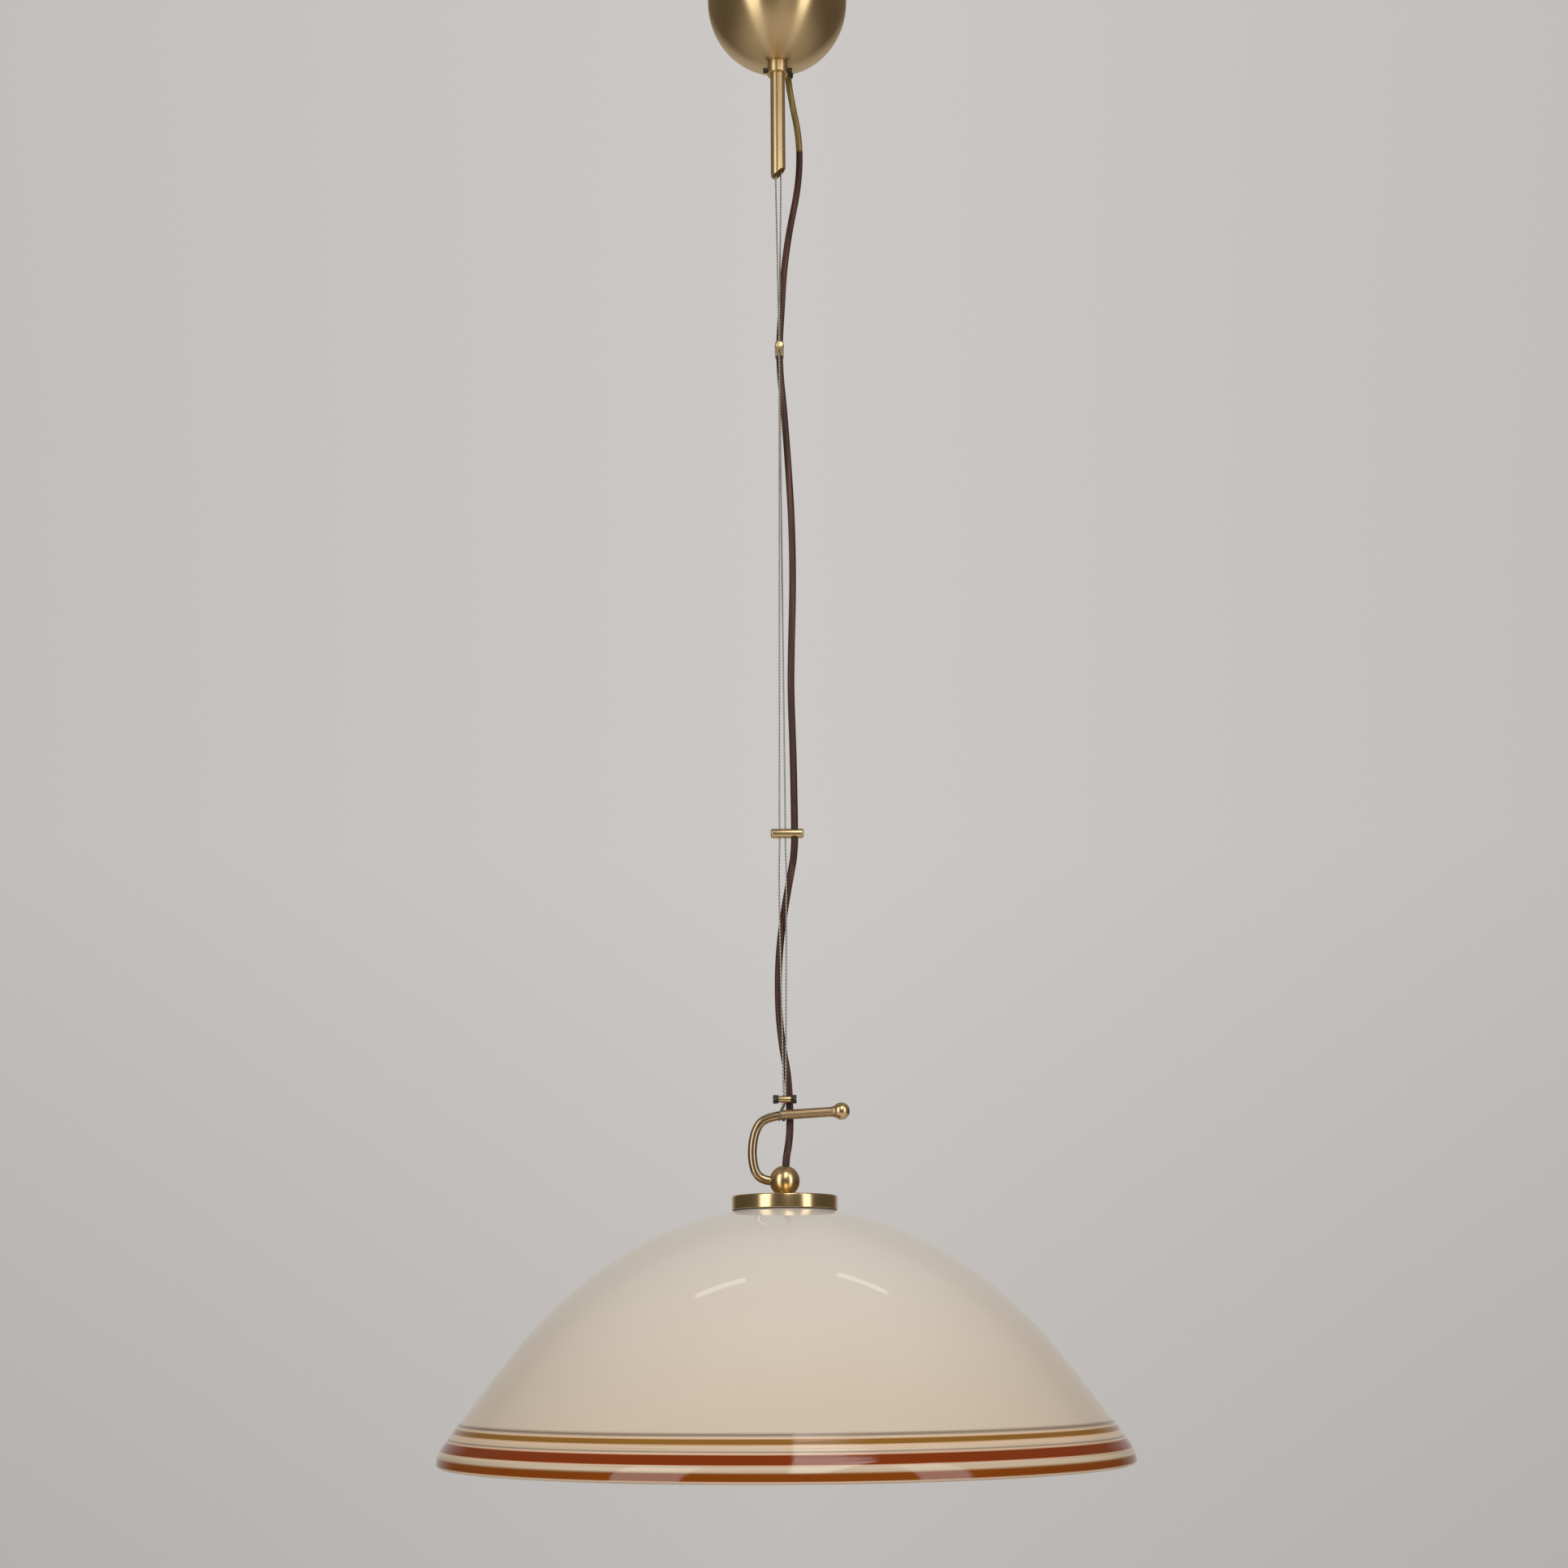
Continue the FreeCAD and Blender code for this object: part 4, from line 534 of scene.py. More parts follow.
def turned(name, outline, sides, loop=False, angle=32.0):
    """Turns a piece from its outline of (radius, height) points, from a circle extruded step by step."""
    clear_selection()
    radius, height = outline[0]
    bpy.ops.mesh.primitive_circle_add(vertices=sides, radius=radius * MM, fill_type="NOTHING")
    piece = bpy.context.object
    piece.name = name
    bpy.ops.object.mode_set(mode="EDIT")
    bpy.ops.mesh.select_all(action="SELECT")
    bpy.ops.transform.translate(value=(0, 0, height * MM))
    for next_radius, next_height in outline[1:] + (outline[:1] if loop else []):
        climb = (0, 0, (next_height - height) * MM)
        bpy.ops.mesh.extrude_region_move(TRANSFORM_OT_translate={"value": climb})
        if next_radius <= 0:
            bpy.ops.mesh.merge(type="CENTER")
            break
        grow = next_radius / radius
        bpy.ops.transform.resize(value=(grow, grow, 1), center_override=(0, 0, 0))
        radius, height = next_radius, next_height
    bpy.ops.object.mode_set(mode="OBJECT")
    return tidy_mesh(piece, 1e-6 if loop else 1e-7, fill=not loop, angle=angle)


def settle(piece, place, axis=(0, 0, 1)):
    """Turns a piece's own Z to an axis, moves it to a place in millimetres, and applies both to the mesh."""
    select_only(piece)
    piece.rotation_mode = "QUATERNION"
    piece.rotation_quaternion = Vector((0, 0, 1)).rotation_difference(Vector(axis))
    piece.location = Vector(place) * MM
    bpy.ops.object.transform_apply(location=True, rotation=True, scale=True)
    return piece


def cut(piece, *cutters, angle=32.0):
    """Cuts shapes out of a piece and smooths it again."""
    for cutter in cutters:
        select_only(piece)
        change = piece.modifiers.new("cut", "BOOLEAN")
        change.operation = "DIFFERENCE"
        change.solver = "EXACT"
        change.object = cutter
        bpy.ops.object.modifier_apply(modifier=change.name)
        bpy.data.objects.remove(cutter)
    select_only(piece)
    bpy.ops.object.shade_smooth_by_angle(angle=math.radians(angle))
    return piece


def join(name, *parts):
    """Makes one named piece of several."""
    select_only(parts[0])
    for part in parts[1:]:
        part.select_set(True)
    bpy.ops.object.join()
    piece = bpy.context.object
    piece.name = name
    return piece


def peg(radius, low, high, place, axis, sides=48):
    """A plain round cutter."""
    return settle(turned("cutter", [(radius, low), (radius, high)], sides), place, axis)


def slab(size, place):
    """A plain block cutter, by its size and middle in millimetres."""
    clear_selection()
    bpy.ops.mesh.primitive_cube_add(size=1.0)
    piece = bpy.context.object
    piece.scale = Vector(size) * MM
    piece.location = Vector(place) * MM
    bpy.ops.object.transform_apply(location=True, rotation=True, scale=True)
    return piece


def smooth_line(name, points, resolution):
    """A curve with one smooth spline that the points control."""
    curve = bpy.data.curves.new(name, "CURVE")
    curve.dimensions = "3D"
    line = curve.splines.new("NURBS")
    line.points.add(len(points) - 1)
    for point, place in zip(line.points, points):
        point.co = (place[0] * MM, place[1] * MM, place[2] * MM, 1.0)
    line.order_u = 3
    line.use_endpoint_u = True
    curve.resolution_u = resolution
    piece = bpy.data.objects.new(name, curve)
    bpy.context.scene.collection.objects.link(piece)
    return piece


def round_tube(name, points, diameter, ring=6, resolution=10):
    """A round tube along a smooth line, as a mesh, with the points that its line goes through."""
    piece = smooth_line(name, points, resolution)
    bpy.context.view_layer.update()
    bare = bpy.data.meshes.new_from_object(piece)
    path = [tuple(vertex.co) for vertex in bare.vertices]
    bpy.data.meshes.remove(bare)
    piece.data.bevel_depth = diameter / 2
    piece.data.bevel_resolution = ring
    piece.data.use_fill_caps = True
    select_only(piece)
    bpy.ops.object.convert(target="MESH")
    piece = bpy.context.object
    piece.name = name
    tidy_mesh(piece, 1e-6, fill=False, angle=40.0)
    return piece, path


def arm_point(x):
    """The place on the arm's axis at an X, in millimetres."""
    return (x, 0.0, EYE_Z + (x - EYE_X) * math.tan(ARM_RISE))


def dress(piece, body, node, slot, *materials):
    """Gives a finished piece its materials and its body, and hides the CAD node that it stands for. The slot
    is not used.
    """
    piece.data.materials.clear()
    for material in materials:
        piece.data.materials.append(material)
    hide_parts(node)
    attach(piece, body)


def arcs(start_z, inward, step=1.4):
    """The shade's outline of tangent arcs from the crown to the lip, moved inward by a wall."""
    points = []
    r, z, heading = 0.0, start_z - inward, 0.0
    for radius, sweep in SHADE_ARCS:
        radius -= inward
        centre = (r - radius * math.sin(heading), z - radius * math.cos(heading))
        parts = max(4, int(sweep / step) + 1)
        for k in range(1, parts + 1):
            angle = heading + math.radians(sweep) * k / parts
            points.append((centre[0] + radius * math.sin(angle), centre[1] + radius * math.cos(angle)))
        r, z = points[-1]
        heading += math.radians(sweep)
    return points


# ---------------------------------------------------------------- operators

class PENDANT_OT_stage(bpy.types.Operator):
    """Sets the floor, the lights, the backdrop and the camera"""

    bl_idname = "pendant.stage"
    bl_label = "Stage, lights and camera"

    def execute(self, context):
        stage = context.scene.pendant_stage
        clear_selection()
        bpy.ops.mesh.primitive_plane_add(size=7.0, location=(0, 0.8, -2.35))
        floor = context.object
        floor.name = "studio_floor"
        floor.data.materials.append(moulded("studio_floor", rgb(stage.floor), 0.8, grain=40.0))
        self.light_world(context, rgb(stage.wall))
        for panel in PANELS:
            self.add_panel(context, *panel)
        self.add_camera(context, stage.distance)
        context.scene.view_settings.view_transform = "Standard"
        return {"FINISHED"}

    def light_world(self, context, wall):
        """A pale wall all round, a little darker low down and at the sides.

        Reflections see a dim room instead, with the same wall only behind the lamp.
        """
        room = Look("pale_room", bpy.data.worlds)
        side, depth, up = room.split(room.add("ShaderNodeTexCoord", output="Generated"))
        fall = (side.math("ABSOLUTE") * 0.9 + (0.22 - up).clamped() * 1.3).clamped()
        seen = room.blend(fall, toned(wall, 1.10), toned(wall, 0.72))
        dim = room.blend((up * 1.4).clamped(), (0.085, 0.070, 0.052), (0.20, 0.18, 0.15))
        mirrored = room.blend(((depth - 0.72) * 4.0).clamped(), dim, wall)
        glossy = room.add("ShaderNodeLightPath", output="Is Glossy Ray")
        tone = room.blend(glossy, seen, mirrored)
        room.add_output("ShaderNodeOutputWorld", room.add("ShaderNodeBackground", None, {"Color": tone}))
        context.scene.world = room.material

    def add_panel(self, context, name, place, target, size, power, tint):
        """A rectangular area light that faces its target."""
        panel = bpy.data.lights.new(name, "AREA")
        panel.shape = "RECTANGLE"
        panel.size, panel.size_y = size
        panel.energy = power
        panel.color = tint
        lamp = bpy.data.objects.new(name, panel)
        lamp.location = place
        lamp.rotation_euler = (Vector(target) - Vector(place)).to_track_quat("-Z", "Y").to_euler()
        context.scene.collection.objects.link(lamp)

    def add_camera(self, context, distance):
        """The camera as it stood for the photo."""
        lens = bpy.data.cameras.new("photo_view")
        lens.sensor_width = SENSOR_WIDTH
        lens.lens = FOCAL_LENGTH / PHOTO_WIDTH * SENSOR_WIDTH
        camera = bpy.data.objects.new("photo_view", lens)
        pitch, roll = math.radians(90.0 + CAMERA_PITCH), math.radians(CAMERA_ROLL)
        turn = Matrix.Rotation(pitch, 4, "X") @ Matrix.Rotation(roll, 4, "Z")
        camera.matrix_world = Matrix.Translation((CAMERA_X, -distance, CAMERA_Z)) @ turn
        context.scene.collection.objects.link(camera)
        context.scene.camera = camera


class PENDANT_OT_cords(bpy.types.Operator):
    """Hangs the flex from the canopy to the ball, and the two suspension wires"""

    bl_idname = "pendant.cords"
    bl_label = "Flex and wires"

    def execute(self, context):
        cord = context.scene.pendant_cord
        sheath = flex_sheath("flex_sheath_look", rgb(cord.sheath), rgb(cord.sheath_warm), rgb(cord.top))
        self.hang_flex(cord, sheath)
        rope = stranded_wire("stranded_wire_look", rgb(context.scene.pendant_metal.wire))
        for side, name in ((-1, "wire_left"), (1, "wire_right")):
            self.hang_wire(name, side, cord.wire_diameter, rope)
        return {"FINISHED"}

    def hang_flex(self, cord, sheath):
        """Three stretches: inside the canopy, down to the clamp, and on to the ball."""
        inside, _ = round_tube("flex_in_canopy", FLEX_INSIDE, cord.diameter)
        dress(inside, "fixed", "flex_inside", "flex_sheath", sheath)
        run, path = round_tube("flex_to_clamp", FLEX_RUN, cord.diameter)
        dress(run, "fixed", "flex_run", "flex_sheath", sheath)
        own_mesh(run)
        tail, path = round_tube("flex_to_ball", FLEX_TAIL, cord.diameter)
        tail.data.materials.append(sheath)
        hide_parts("flex_tail")
        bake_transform(tail)

    def hang_wire(self, name, side, diameter, rope):
        """One wire: straight down the stem, a quarter turn to each bar, and in to the clamp.

        Between the pieces its places are heights that follow the photo.
        """
        x, low = side * WIRE_X, LOWER_BAR_Z
        route = [
            (x, 0, ANCHOR_Z), (x, 0, -150), (x, 0, STEM_END_Z), (x * 0.7, x * 0.3, -246),
            (x * 0.3, x * 0.7, -310), (0, x, UPPER_BAR_Z), (x * 0.3, x * 0.7, -482),
            (x * 0.7, x * 0.3, -647), (x, 0, low + WIRE_STRAIGHT), (x, 0, low),
            (x, 0, low - WIRE_STRAIGHT), (1.32 * x, 0, -800), (x + 0.15 * side, 0, -855),
            (CLAMP_X + side * CLAMP_WIRE_X, 0, EYE_TOP_Z)]
        wire, path = round_tube(name, route, diameter, ring=2)
        dress(wire, "fixed", "suspension_wires", "wire_rope", rope)
        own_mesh(wire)


class PENDANT_OT_canopy(bpy.types.Operator):
    """Builds the canopy, the stem, the collar and its two set screws"""

    bl_idname = "pendant.canopy"
    bl_label = "Canopy, stem and collar"

    def execute(self, context):
        metal = context.scene.pendant_metal
        brass, pitch = rgb(metal.satin_brass), metal.groove_pitch
        satin = turned_metal("satin_brass_bowl", brass, 0.33, pitch * 1.4, anisotropy=0.9, depth=0.2)
        bowl = turned("canopy", self.bowl_outline(), 224, loop=True, angle=50.0)
        cut(bowl, peg(4.55, -95, -60, (9.0, 24.0, 0.0), (0, 0, 1)), angle=50.0)
        dress(bowl, "fixed", "canopy_bowl", "satin_brass", satin)
        satin = turned_metal("satin_brass_stem", brass, 0.37, pitch, anisotropy=0.4, depth=0.1, cloudy=0.04)
        corners = [(STEM_BORE_R, STEM_TOP_Z), (STEM_R, STEM_TOP_Z),
                   (STEM_R, STEM_END_Z), (STEM_BORE_R, STEM_END_Z)]
        stem = turned("stem", rounded(corners, [0.2] * 4, True), 96, loop=True)
        cut(stem, self.wedge())
        dress(stem, "fixed", "stem_tube", "satin_brass", satin)
        corners = [(COLLAR_BORE_R, COLLAR_LOW_Z), (COLLAR_R, COLLAR_LOW_Z),
                   (COLLAR_R, COLLAR_TOP_Z), (COLLAR_BORE_R, COLLAR_TOP_Z)]
        collar = turned("collar", rounded(corners, [0.1, 0.7, 0.7, 0.1], True), 96, loop=True)
        dress(collar, "fixed", "canopy_collar", "satin_brass", satin)
        self.set_screws(plain_metal("blackened_steel_screws", rgb(metal.dark_steel), 0.42))
        return {"FINISHED"}

    def set_screws(self, dark):
        """Two slotted screws, one on each side of the collar."""
        parts = []
        for side in (-1, 1):
            corners = [(1.5, 6.4), (1.5, 9.0), (2.3, 9.0), (2.3, 12.3), (1.0, 12.5)]
            screw = turned("set_screw", rounded(corners, [0, 0.1, 0.3, 0.5, 0]), 40)
            settle(screw, (0, 0, SET_SCREW_Z), (side, 0, 0))
            parts.append(cut(screw, slab((2.0, 8.0, 0.8), (side * 12.6, 0, SET_SCREW_Z))))
        dress(join("collar_set_screws", *parts), "fixed", "collar_screws", "blackened_steel", dark)

    def bowl_outline(self, parts=44):
        """Straight skirt, ball below, and the inner wall back up."""
        outline = [(BOWL_R, -0.3), (BOWL_R, -8.0), (BOWL_R, -20.0)]
        for radius, order in ((BOWL_R, 1), (BOWL_INNER_R, -1)):
            end = math.asin(BOWL_HOLE_R / radius)
            angles = [math.pi / 2 - (math.pi / 2 - end) * k / parts for k in range(parts + 1)]
            ring = [(radius * math.sin(a), BOWL_CENTRE_Z - radius * math.cos(a)) for a in angles]
            outline += ring[::order]
        inner = [(BOWL_INNER_R, -20.0), (BOWL_INNER_R, -8.0), (BOWL_INNER_R, 0.0)]
        return outline + inner + [(BOWL_R - 0.3, 0.0)]

    def wedge(self, size=80.0):
        """The slanting cutter for the stem's lower end, turned round its own corner."""
        corner = Vector((-WIRE_X, 0, STEM_END_Z))
        piece = slab((size, size, size), corner + Vector((size / 2, 0, -size / 2)))
        slope = math.atan2(8.0, 8.5)
        turn = Matrix.Translation(corner * MM) @ Matrix.Rotation(-slope, 4, "Y")
        select_only(piece)
        piece.matrix_world = turn @ Matrix.Translation(corner * -MM)
        bpy.ops.object.transform_apply(location=True, rotation=True, scale=True)
        return piece


class PENDANT_OT_bars(bpy.types.Operator):
    """Builds the two spacer bars, the wire clamp with its screws, and the wire eye"""

    bl_idname = "pendant.bars"
    bl_label = "Spacer bars, clamp and eye"

    def execute(self, context):
        metal = context.scene.pendant_metal
        brass = rgb(metal.satin_brass)
        self.add_bar("bar_upper", "upper_bar", "upper_spacer_bar", UPPER_BAR_Z, "Y", metal)
        self.add_bar("bar_lower", "lower_bar", "lower_spacer_bar", LOWER_BAR_Z, "X", metal)
        look = turned_metal("clamp_brass", brass, 0.28, metal.groove_pitch, "X", (0, 0, CLAMP_Z))
        corners = [(0.5, -CLAMP_HALF), (CLAMP_R, -CLAMP_HALF), (CLAMP_R, CLAMP_HALF), (0.5, CLAMP_HALF)]
        barrel = turned("clamp", rounded(corners, [0, 0.3, 0.3, 0]), 56)
        settle(barrel, (CLAMP_X, 0, CLAMP_Z), (1, 0, 0))
        for side in (-1, 1):
            cut(barrel, peg(0.66, -6, 6, (CLAMP_X + side * CLAMP_WIRE_X, 0, CLAMP_Z), (0, 0, 1), 20))
        dress(barrel, "hanger", "clamp_barrel", "satin_brass", look)
        self.clamp_screws(plain_metal("clamp_screw_steel", rgb(metal.dark_steel), 0.38))
        self.eye(stranded_wire("eye_wire_look", rgb(metal.wire)))
        return {"FINISHED"}

    def add_bar(self, name, body, node, z, axis, metal):
        """A round bar along an axis, with two holes for the wires and one for the flex."""
        corners = [(BAR_BORE_R, 0), (BAR_R, 0), (BAR_R, BAR_LENGTH), (BAR_BORE_R, BAR_LENGTH)]
        direction = Vector((axis == "X", axis == "Y", 0))
        middle = Vector((0, 0, z))
        bar = turned(name, rounded(corners, [0, 1.6, 1.6, 0]), 64)
        settle(bar, middle - direction * BAR_OVERHANG, direction)
        for offset, radius in ((-WIRE_X, WIRE_HOLE_R), (WIRE_X, WIRE_HOLE_R), (FLEX_HOLE_X, FLEX_HOLE_R)):
            cut(bar, peg(radius, -6, 6, middle + direction * offset, (0, 0, 1)))
        brass = rgb(metal.satin_brass)
        look = turned_metal(name + "_brass", brass, 0.28, metal.groove_pitch, axis, (0, 0, z))
        dress(bar, body, node, "satin_brass", look)

    def clamp_screws(self, dark):
        """Two knurled and slotted screws, one in each end of the clamp."""
        corners = [(1.3, -2.3), (1.3, 0.05), (2.8, 0.05), (3.3, 0.5), (3.3, 1.3), (2.9, 1.6), (3.3, 1.9),
                   (3.3, 3.7), (2.8, 4.2), (0.6, 4.2)]
        head = rounded(corners, [0, 0, 0.1, 0.1, 0.1, 0.15, 0.1, 0.2, 0.2, 0])
        parts = []
        for side in (-1, 1):
            screw = turned("clamp_screw", head, KNURL_SIDES)
            self.knurl(screw)
            settle(screw, (CLAMP_X + side * CLAMP_HALF, 0, CLAMP_Z), (side, 0, 0))
            face = CLAMP_X + side * (CLAMP_HALF + 4.2)
            parts.append(cut(screw, slab((2.0, 9.0, 0.8), (face, 0, CLAMP_Z))))
        dress(join("clamp_screws_pair", *parts), "hanger", "clamp_screws", "blackened_steel", dark)

    def eye(self, look):
        """The wire eye that the hook swings on, from the clamp down and round under the arm."""
        top, fork, shoulder, under = EYE_TOP_Z, EYE_FORK_Z, EYE_Z + 1.7, EYE_Z - 4.0
        left, right = CLAMP_X - CLAMP_WIRE_X, CLAMP_X + CLAMP_WIRE_X
        route = [(left, 0, top), (left, 0, fork), (EYE_X, -4.0, shoulder), (EYE_X, -4.2, under),
                 (EYE_X, 4.2, under), (EYE_X, 4.0, shoulder), (right, 0, fork), (right, 0, top)]
        piece, _ = round_tube("eye_of_wire", route, 0.0012, ring=3, resolution=14)
        dress(piece, "hanger", "wire_eye", "wire_rope", look)

    def knurl(self, screw):
        """Presses in every other edge of the head's rim."""
        rim, pressed = 0.0032, 0.95
        for vertex in screw.data.vertices:
            around = math.atan2(vertex.co.y, vertex.co.x) / (2 * math.pi)
            groove = round(around * KNURL_SIDES) % 2
            if groove and math.hypot(vertex.co.x, vertex.co.y) > rim:
                vertex.co.x *= pressed
                vertex.co.y *= pressed


class PENDANT_OT_hook(bpy.types.Operator):
    """Builds the hook, its arm with the ball handle, and the junction ball"""

    bl_idname = "pendant.hook"
    bl_label = "Hook, arm and balls"

    def execute(self, context):
        metal = context.scene.pendant_metal
        rod_tone, pitch = rgb(metal.rod_brass), metal.groove_pitch
        rise = EYE_Z - BALL_Z
        route = [(x, 0, BALL_Z + share * rise) for x, share in HOOK_CORNERS]
        route += [arm_point(-13.5), arm_point(5.3)]
        rod, _ = round_tube("hook", route, 0.0068, ring=10, resolution=18)
        look = plain_metal("hook_rod_brass", rod_tone, 0.32, depth=0.01, cloudy=0.03)
        dress(rod, "lamp", "hook_rod", "bright_brass", look)
        reach = (HANDLE_X - ARM_START_X) / ARM_AXIS[0] - math.sqrt(HANDLE_R ** 2 - HANDLE_FLAT_R ** 2)
        corners = [(3.42, 0.0), (3.65, 0.0), (3.65, reach - 3.5), (3.95, reach - 1.7),
                   (HANDLE_FLAT_R, reach), (1.0, reach)]
        arm = turned("arm", rounded(corners, [0, 0.15, 2.0, 1.2, 0.1, 0]), 64)
        settle(arm, arm_point(ARM_START_X), ARM_AXIS)
        look = turned_metal("arm_brass", rod_tone, 0.42, pitch, "X", (0, 0, EYE_Z + 1.0))
        dress(arm, "lamp", "hook_arm", "satin_brass", look)
        under = Vector((ARM_AXIS[2], 0, -ARM_AXIS[0]))
        corners = [(1.3, 3.5), (1.3, 4.4), (1.0, 4.6), (0.5, 4.6)]
        screw = turned("stop_screw", rounded(corners, [0, 0.15, 0.1, 0]), 32)
        settle(screw, arm_point(-0.7), under)
        dark = plain_metal("stop_screw_steel", rgb(metal.dark_steel), 0.4)
        dress(screw, "lamp", "arm_stop_screw", "blackened_steel", dark)
        self.balls(rgb(metal.satin_brass), pitch)
        return {"FINISHED"}

    def ball_outline(self, radius, low_r, high_r, parts=40):
        """A ball with a flat below and above, each from its own radius."""
        start, end = math.asin(low_r / radius), math.pi - math.asin(high_r / radius)
        angles = [start + (end - start) * k / parts for k in range(parts + 1)]
        return [(radius * math.sin(a), -radius * math.cos(a)) for a in angles]

    def balls(self, brass, pitch):
        """The handle at the arm's end, and the junction ball with its bores for the flex and the hook."""
        place = arm_point(HANDLE_X)
        ball = turned("handle", self.ball_outline(HANDLE_R, HANDLE_FLAT_R, 0.5), 72, angle=50.0)
        settle(ball, place, ARM_AXIS)
        look = turned_metal("handle_brass", brass, 0.26, pitch, "X", place)
        dress(ball, "lamp", "handle_ball", "satin_brass", look)
        ball = turned("junction", self.ball_outline(BALL_R, 5.8, 0.6), 112, angle=50.0)
        settle(ball, (0, 0, BALL_Z))
        cut(ball, peg(3.7, -6, 20, (0.8, 0, BALL_Z), (0, 0, 1), 64), angle=45.0)
        cut(ball, peg(3.45, -6.6, 20, (0, 0, BALL_Z), (-1, 0, 0), 64), angle=45.0)
        look = turned_metal("junction_brass", brass, 0.27, pitch, anisotropy=0.3)
        dress(ball, "lamp", "junction_ball", "satin_brass", look)


class PENDANT_OT_shade(bpy.types.Operator):
    """Builds the brass disc and the glass shade with its striped rim"""

    bl_idname = "pendant.shade"
    bl_label = "Disc and glass shade"

    def execute(self, context):
        metal = context.scene.pendant_metal
        brass, pitch = rgb(metal.satin_brass), metal.groove_pitch
        top, low, under = DISC_TOP_Z, DISC_LOW_Z, DISC_TOP_Z - DISC_SHEET
        corners = [(5.05, top), (DISC_R, top), (DISC_R, low), (36.7, low), (36.7, under), (5.05, under)]
        disc = turned("disc", rounded(corners, [0.2, 1.2, 0.6, 0.3, 0.5, 0.2], True), 192, loop=True)
        look = turned_metal("disc_brass", brass, 0.25, pitch, anisotropy=0.65)
        dress(disc, "lamp", "disc_cap", "satin_brass", look)
        self.glass(context.scene.pendant_glass)
        return {"FINISHED"}

    def glass(self, glass):
        """The shade, turned from its outer and inner arcs with a round lip between them."""
        walls = []
        for inward in (0.0, GLASS_WALL):
            arc = [(radius * INSIDE_BOX, z) for radius, z in arcs(GLASS_TOP_Z, inward)]
            edge = (GLASS_HOLE_R, GLASS_TOP_Z - inward - 0.08)
            walls.append([edge] + [point for point in arc if point[0] > GLASS_HOLE_R + 2])
        outer, inner = walls
        start, end = Vector(outer[-1]), Vector(inner[-1])
        middle = (start + end) / 2
        lip = []
        for k in range(1, LIP_PARTS):
            turn = Matrix.Rotation(math.pi * k / LIP_PARTS, 2)
            lip.append(tuple(middle + turn.inverted() @ (start - middle)))
        piece = turned("glass", outer + lip + inner[::-1], 288, loop=True, angle=50.0)
        low = min(point[1] for point in lip)
        opal = opal_glass("opal_glass_look", glass)
        rim = striped_rim("striped_rim_look", glass, low)
        dress(piece, "lamp", "glass_shade", "opal_glass", opal, rim)
        border = low * MM + glass.rim_start
        for face in piece.data.polygons:
            face.material_index = 1 if face.center.z < border else 0


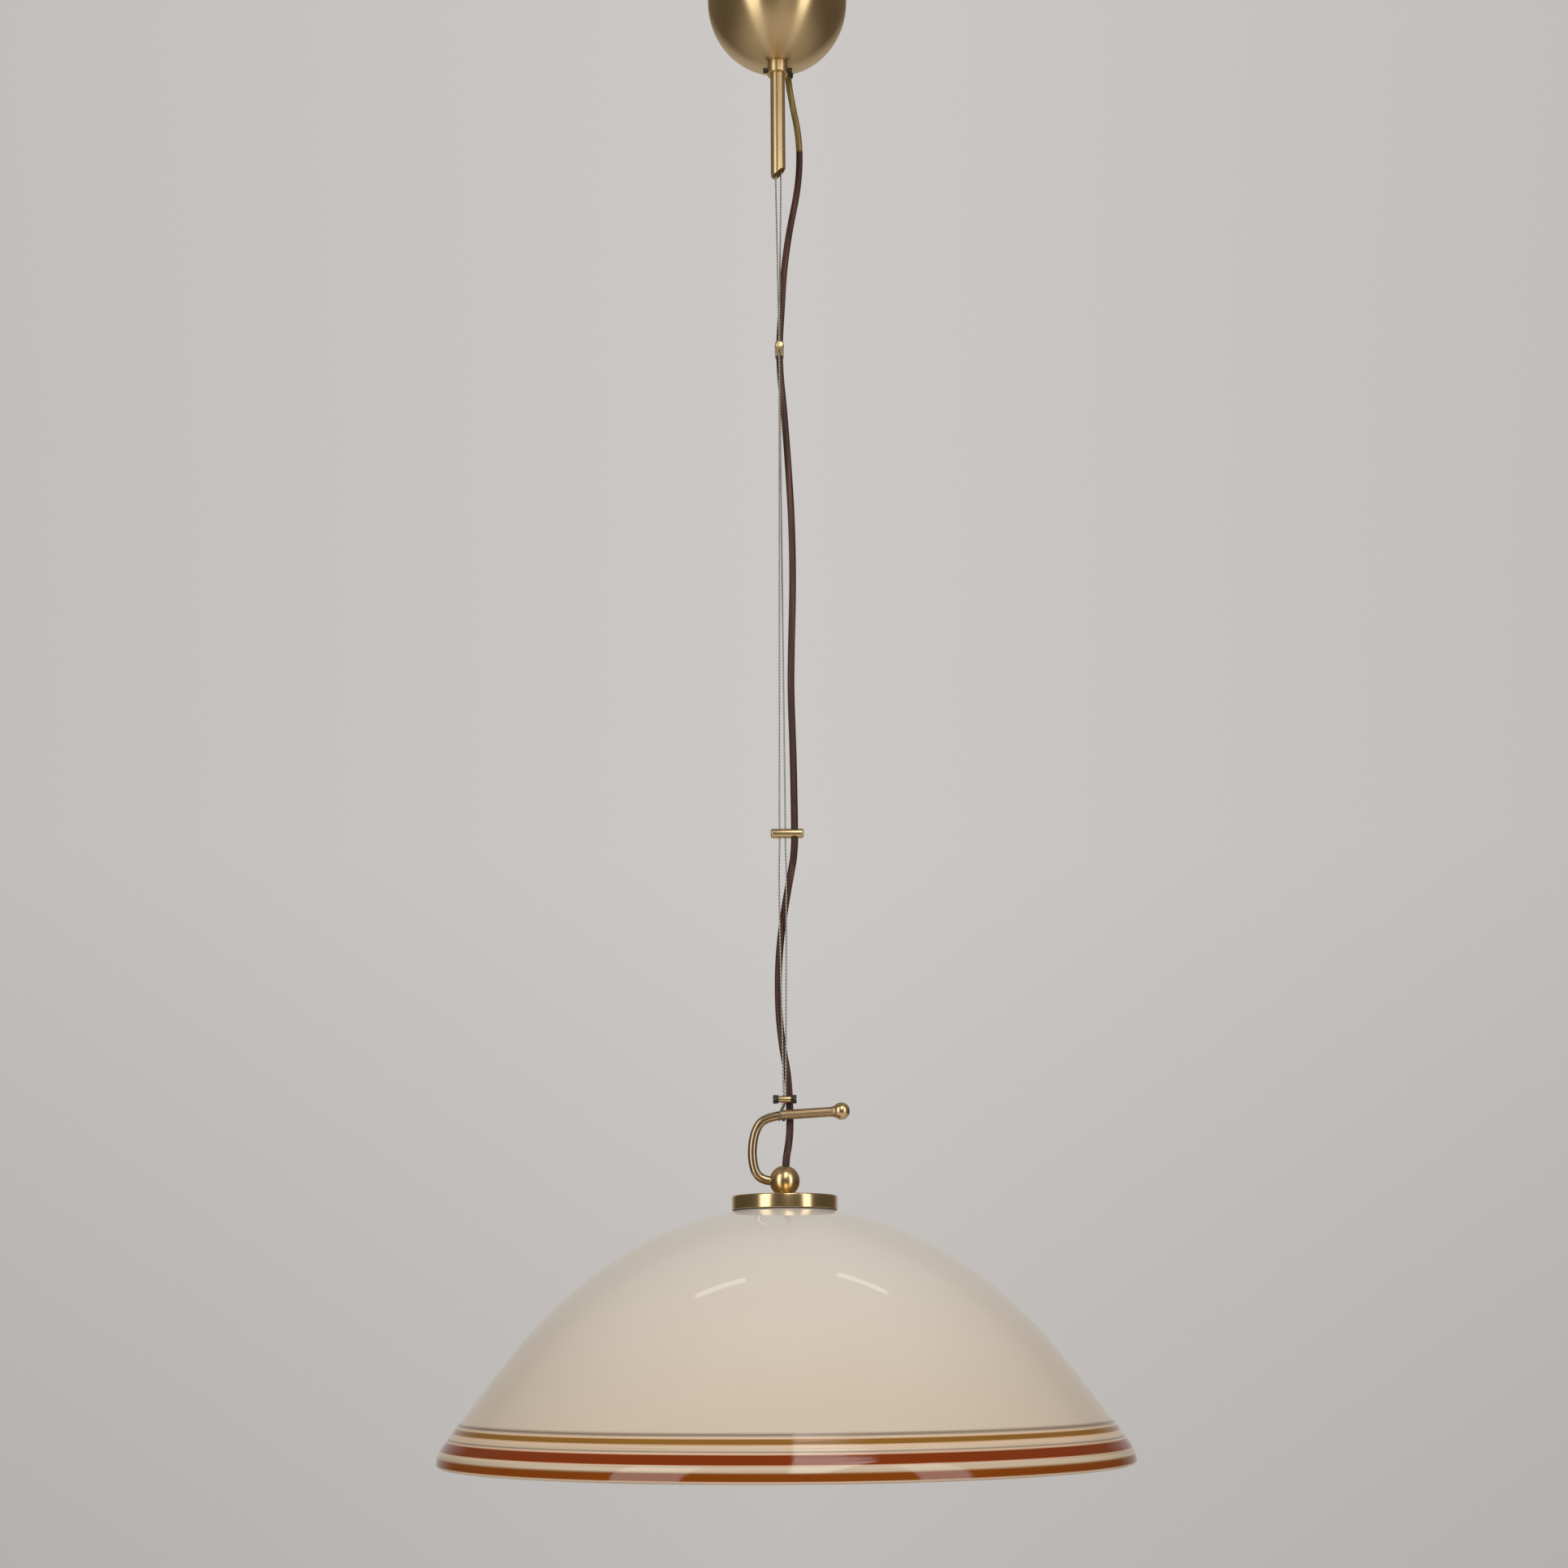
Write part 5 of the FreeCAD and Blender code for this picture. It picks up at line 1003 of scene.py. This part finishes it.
class PENDANT_OT_fittings(bpy.types.Operator):
    """Gives the pieces that come from the CAD frame their materials"""

    bl_idname = "pendant.fittings"
    bl_label = "Reel, lampholder and fixings"

    def execute(self, context):
        metal = context.scene.pendant_metal
        looks = {
            "satin_brass": plain_metal("fitting_brass", rgb(metal.satin_brass), 0.32),
            "bright_brass": plain_metal("fitting_bright_brass", (0.74, 0.58, 0.33), 0.22),
            "blackened_steel": plain_metal("fitting_dark_steel", rgb(metal.dark_steel), 0.4),
            "zinc_steel": plain_metal("zinc_plated_steel", (0.58, 0.59, 0.61), 0.34),
            "spring_steel": plain_metal("tempered_spring_steel", (0.33, 0.34, 0.38), 0.30),
            "wire_rope": stranded_wire("wire_on_reel", rgb(metal.wire)),
            "reel_nylon": moulded("reel_nylon_look", (0.76, 0.73, 0.64), 0.45),
            "bush_bronze": plain_metal("sintered_bronze", (0.45, 0.28, 0.15), 0.5),
            "brake_felt": moulded("brake_felt_look", (0.03, 0.025, 0.02), 0.9),
            "flex_sheath": moulded("flex_plain", (0.05, 0.016, 0.014), 0.4),
            "dark_bush": moulded("dark_bush_look", (0.02, 0.016, 0.015), 0.45),
            "terminal_white": moulded("terminal_white_look", (0.80, 0.78, 0.72), 0.4),
            "seal_rubber": moulded("seal_rubber_look", (0.02, 0.02, 0.02), 0.65),
            "opal_glass": moulded("glass_plain", (0.8, 0.75, 0.65), 0.2),
            "lampholder_phenolic": moulded("lampholder_phenolic_look", (0.022, 0.018, 0.016), 0.35, 0.2),
            "insulator_white": moulded("insulator_white_look", (0.82, 0.80, 0.74), 0.22, 0.5),
            "contact_brass": plain_metal("contact_brass_look", (0.76, 0.62, 0.34), 0.3),
        }
        slots = {entry["node"]: entry["material_slot"] for entry in frame["record"]["subparts"]}
        for name, piece in frame["nodes"].items():
            for slot in piece.material_slots:
                slot.material = looks[slots[name]]
        return {"FINISHED"}


class PENDANT_PT_panel(bpy.types.Panel):
    """The pendant's operators, in the sidebar"""

    bl_idname = "PENDANT_PT_panel"
    bl_label = "Rise and fall pendant"
    bl_space_type = "VIEW_3D"
    bl_region_type = "UI"
    bl_category = "Pendant"

    def draw(self, context):
        for step in STEPS:
            self.layout.operator(step.bl_idname)
        for group in (context.scene.pendant_glass, context.scene.pendant_metal,
                      context.scene.pendant_cord, context.scene.pendant_stage):
            box = self.layout.box()
            for name in group.bl_rna.properties.keys():
                if name not in ("rna_type", "name"):
                    box.prop(group, name)


GROUPS = {
    "pendant_glass": PendantGlass,
    "pendant_metal": PendantMetal,
    "pendant_cord": PendantCord,
    "pendant_stage": PendantStage,
}
STEPS = (PENDANT_OT_stage, PENDANT_OT_fittings, PENDANT_OT_cords, PENDANT_OT_canopy, PENDANT_OT_bars,
         PENDANT_OT_hook, PENDANT_OT_shade)


def register():
    """Adds the properties, the operators and the panel."""
    for name, group in GROUPS.items():
        bpy.utils.register_class(group)
        setattr(bpy.types.Scene, name, bpy.props.PointerProperty(type=group))
    for step in STEPS:
        bpy.utils.register_class(step)
    bpy.utils.register_class(PENDANT_PT_panel)


def unregister():
    """Takes away what register added."""
    bpy.utils.unregister_class(PENDANT_PT_panel)
    for step in reversed(STEPS):
        bpy.utils.unregister_class(step)
    for name, group in reversed(GROUPS.items()):
        delattr(bpy.types.Scene, name)
        bpy.utils.unregister_class(group)


def main():
    """Runs every step in turn."""
    register()
    for step in STEPS:
        area, name = step.bl_idname.split(".")
        getattr(getattr(bpy.ops, area), name)()


if __name__ == "__main__":
    main()
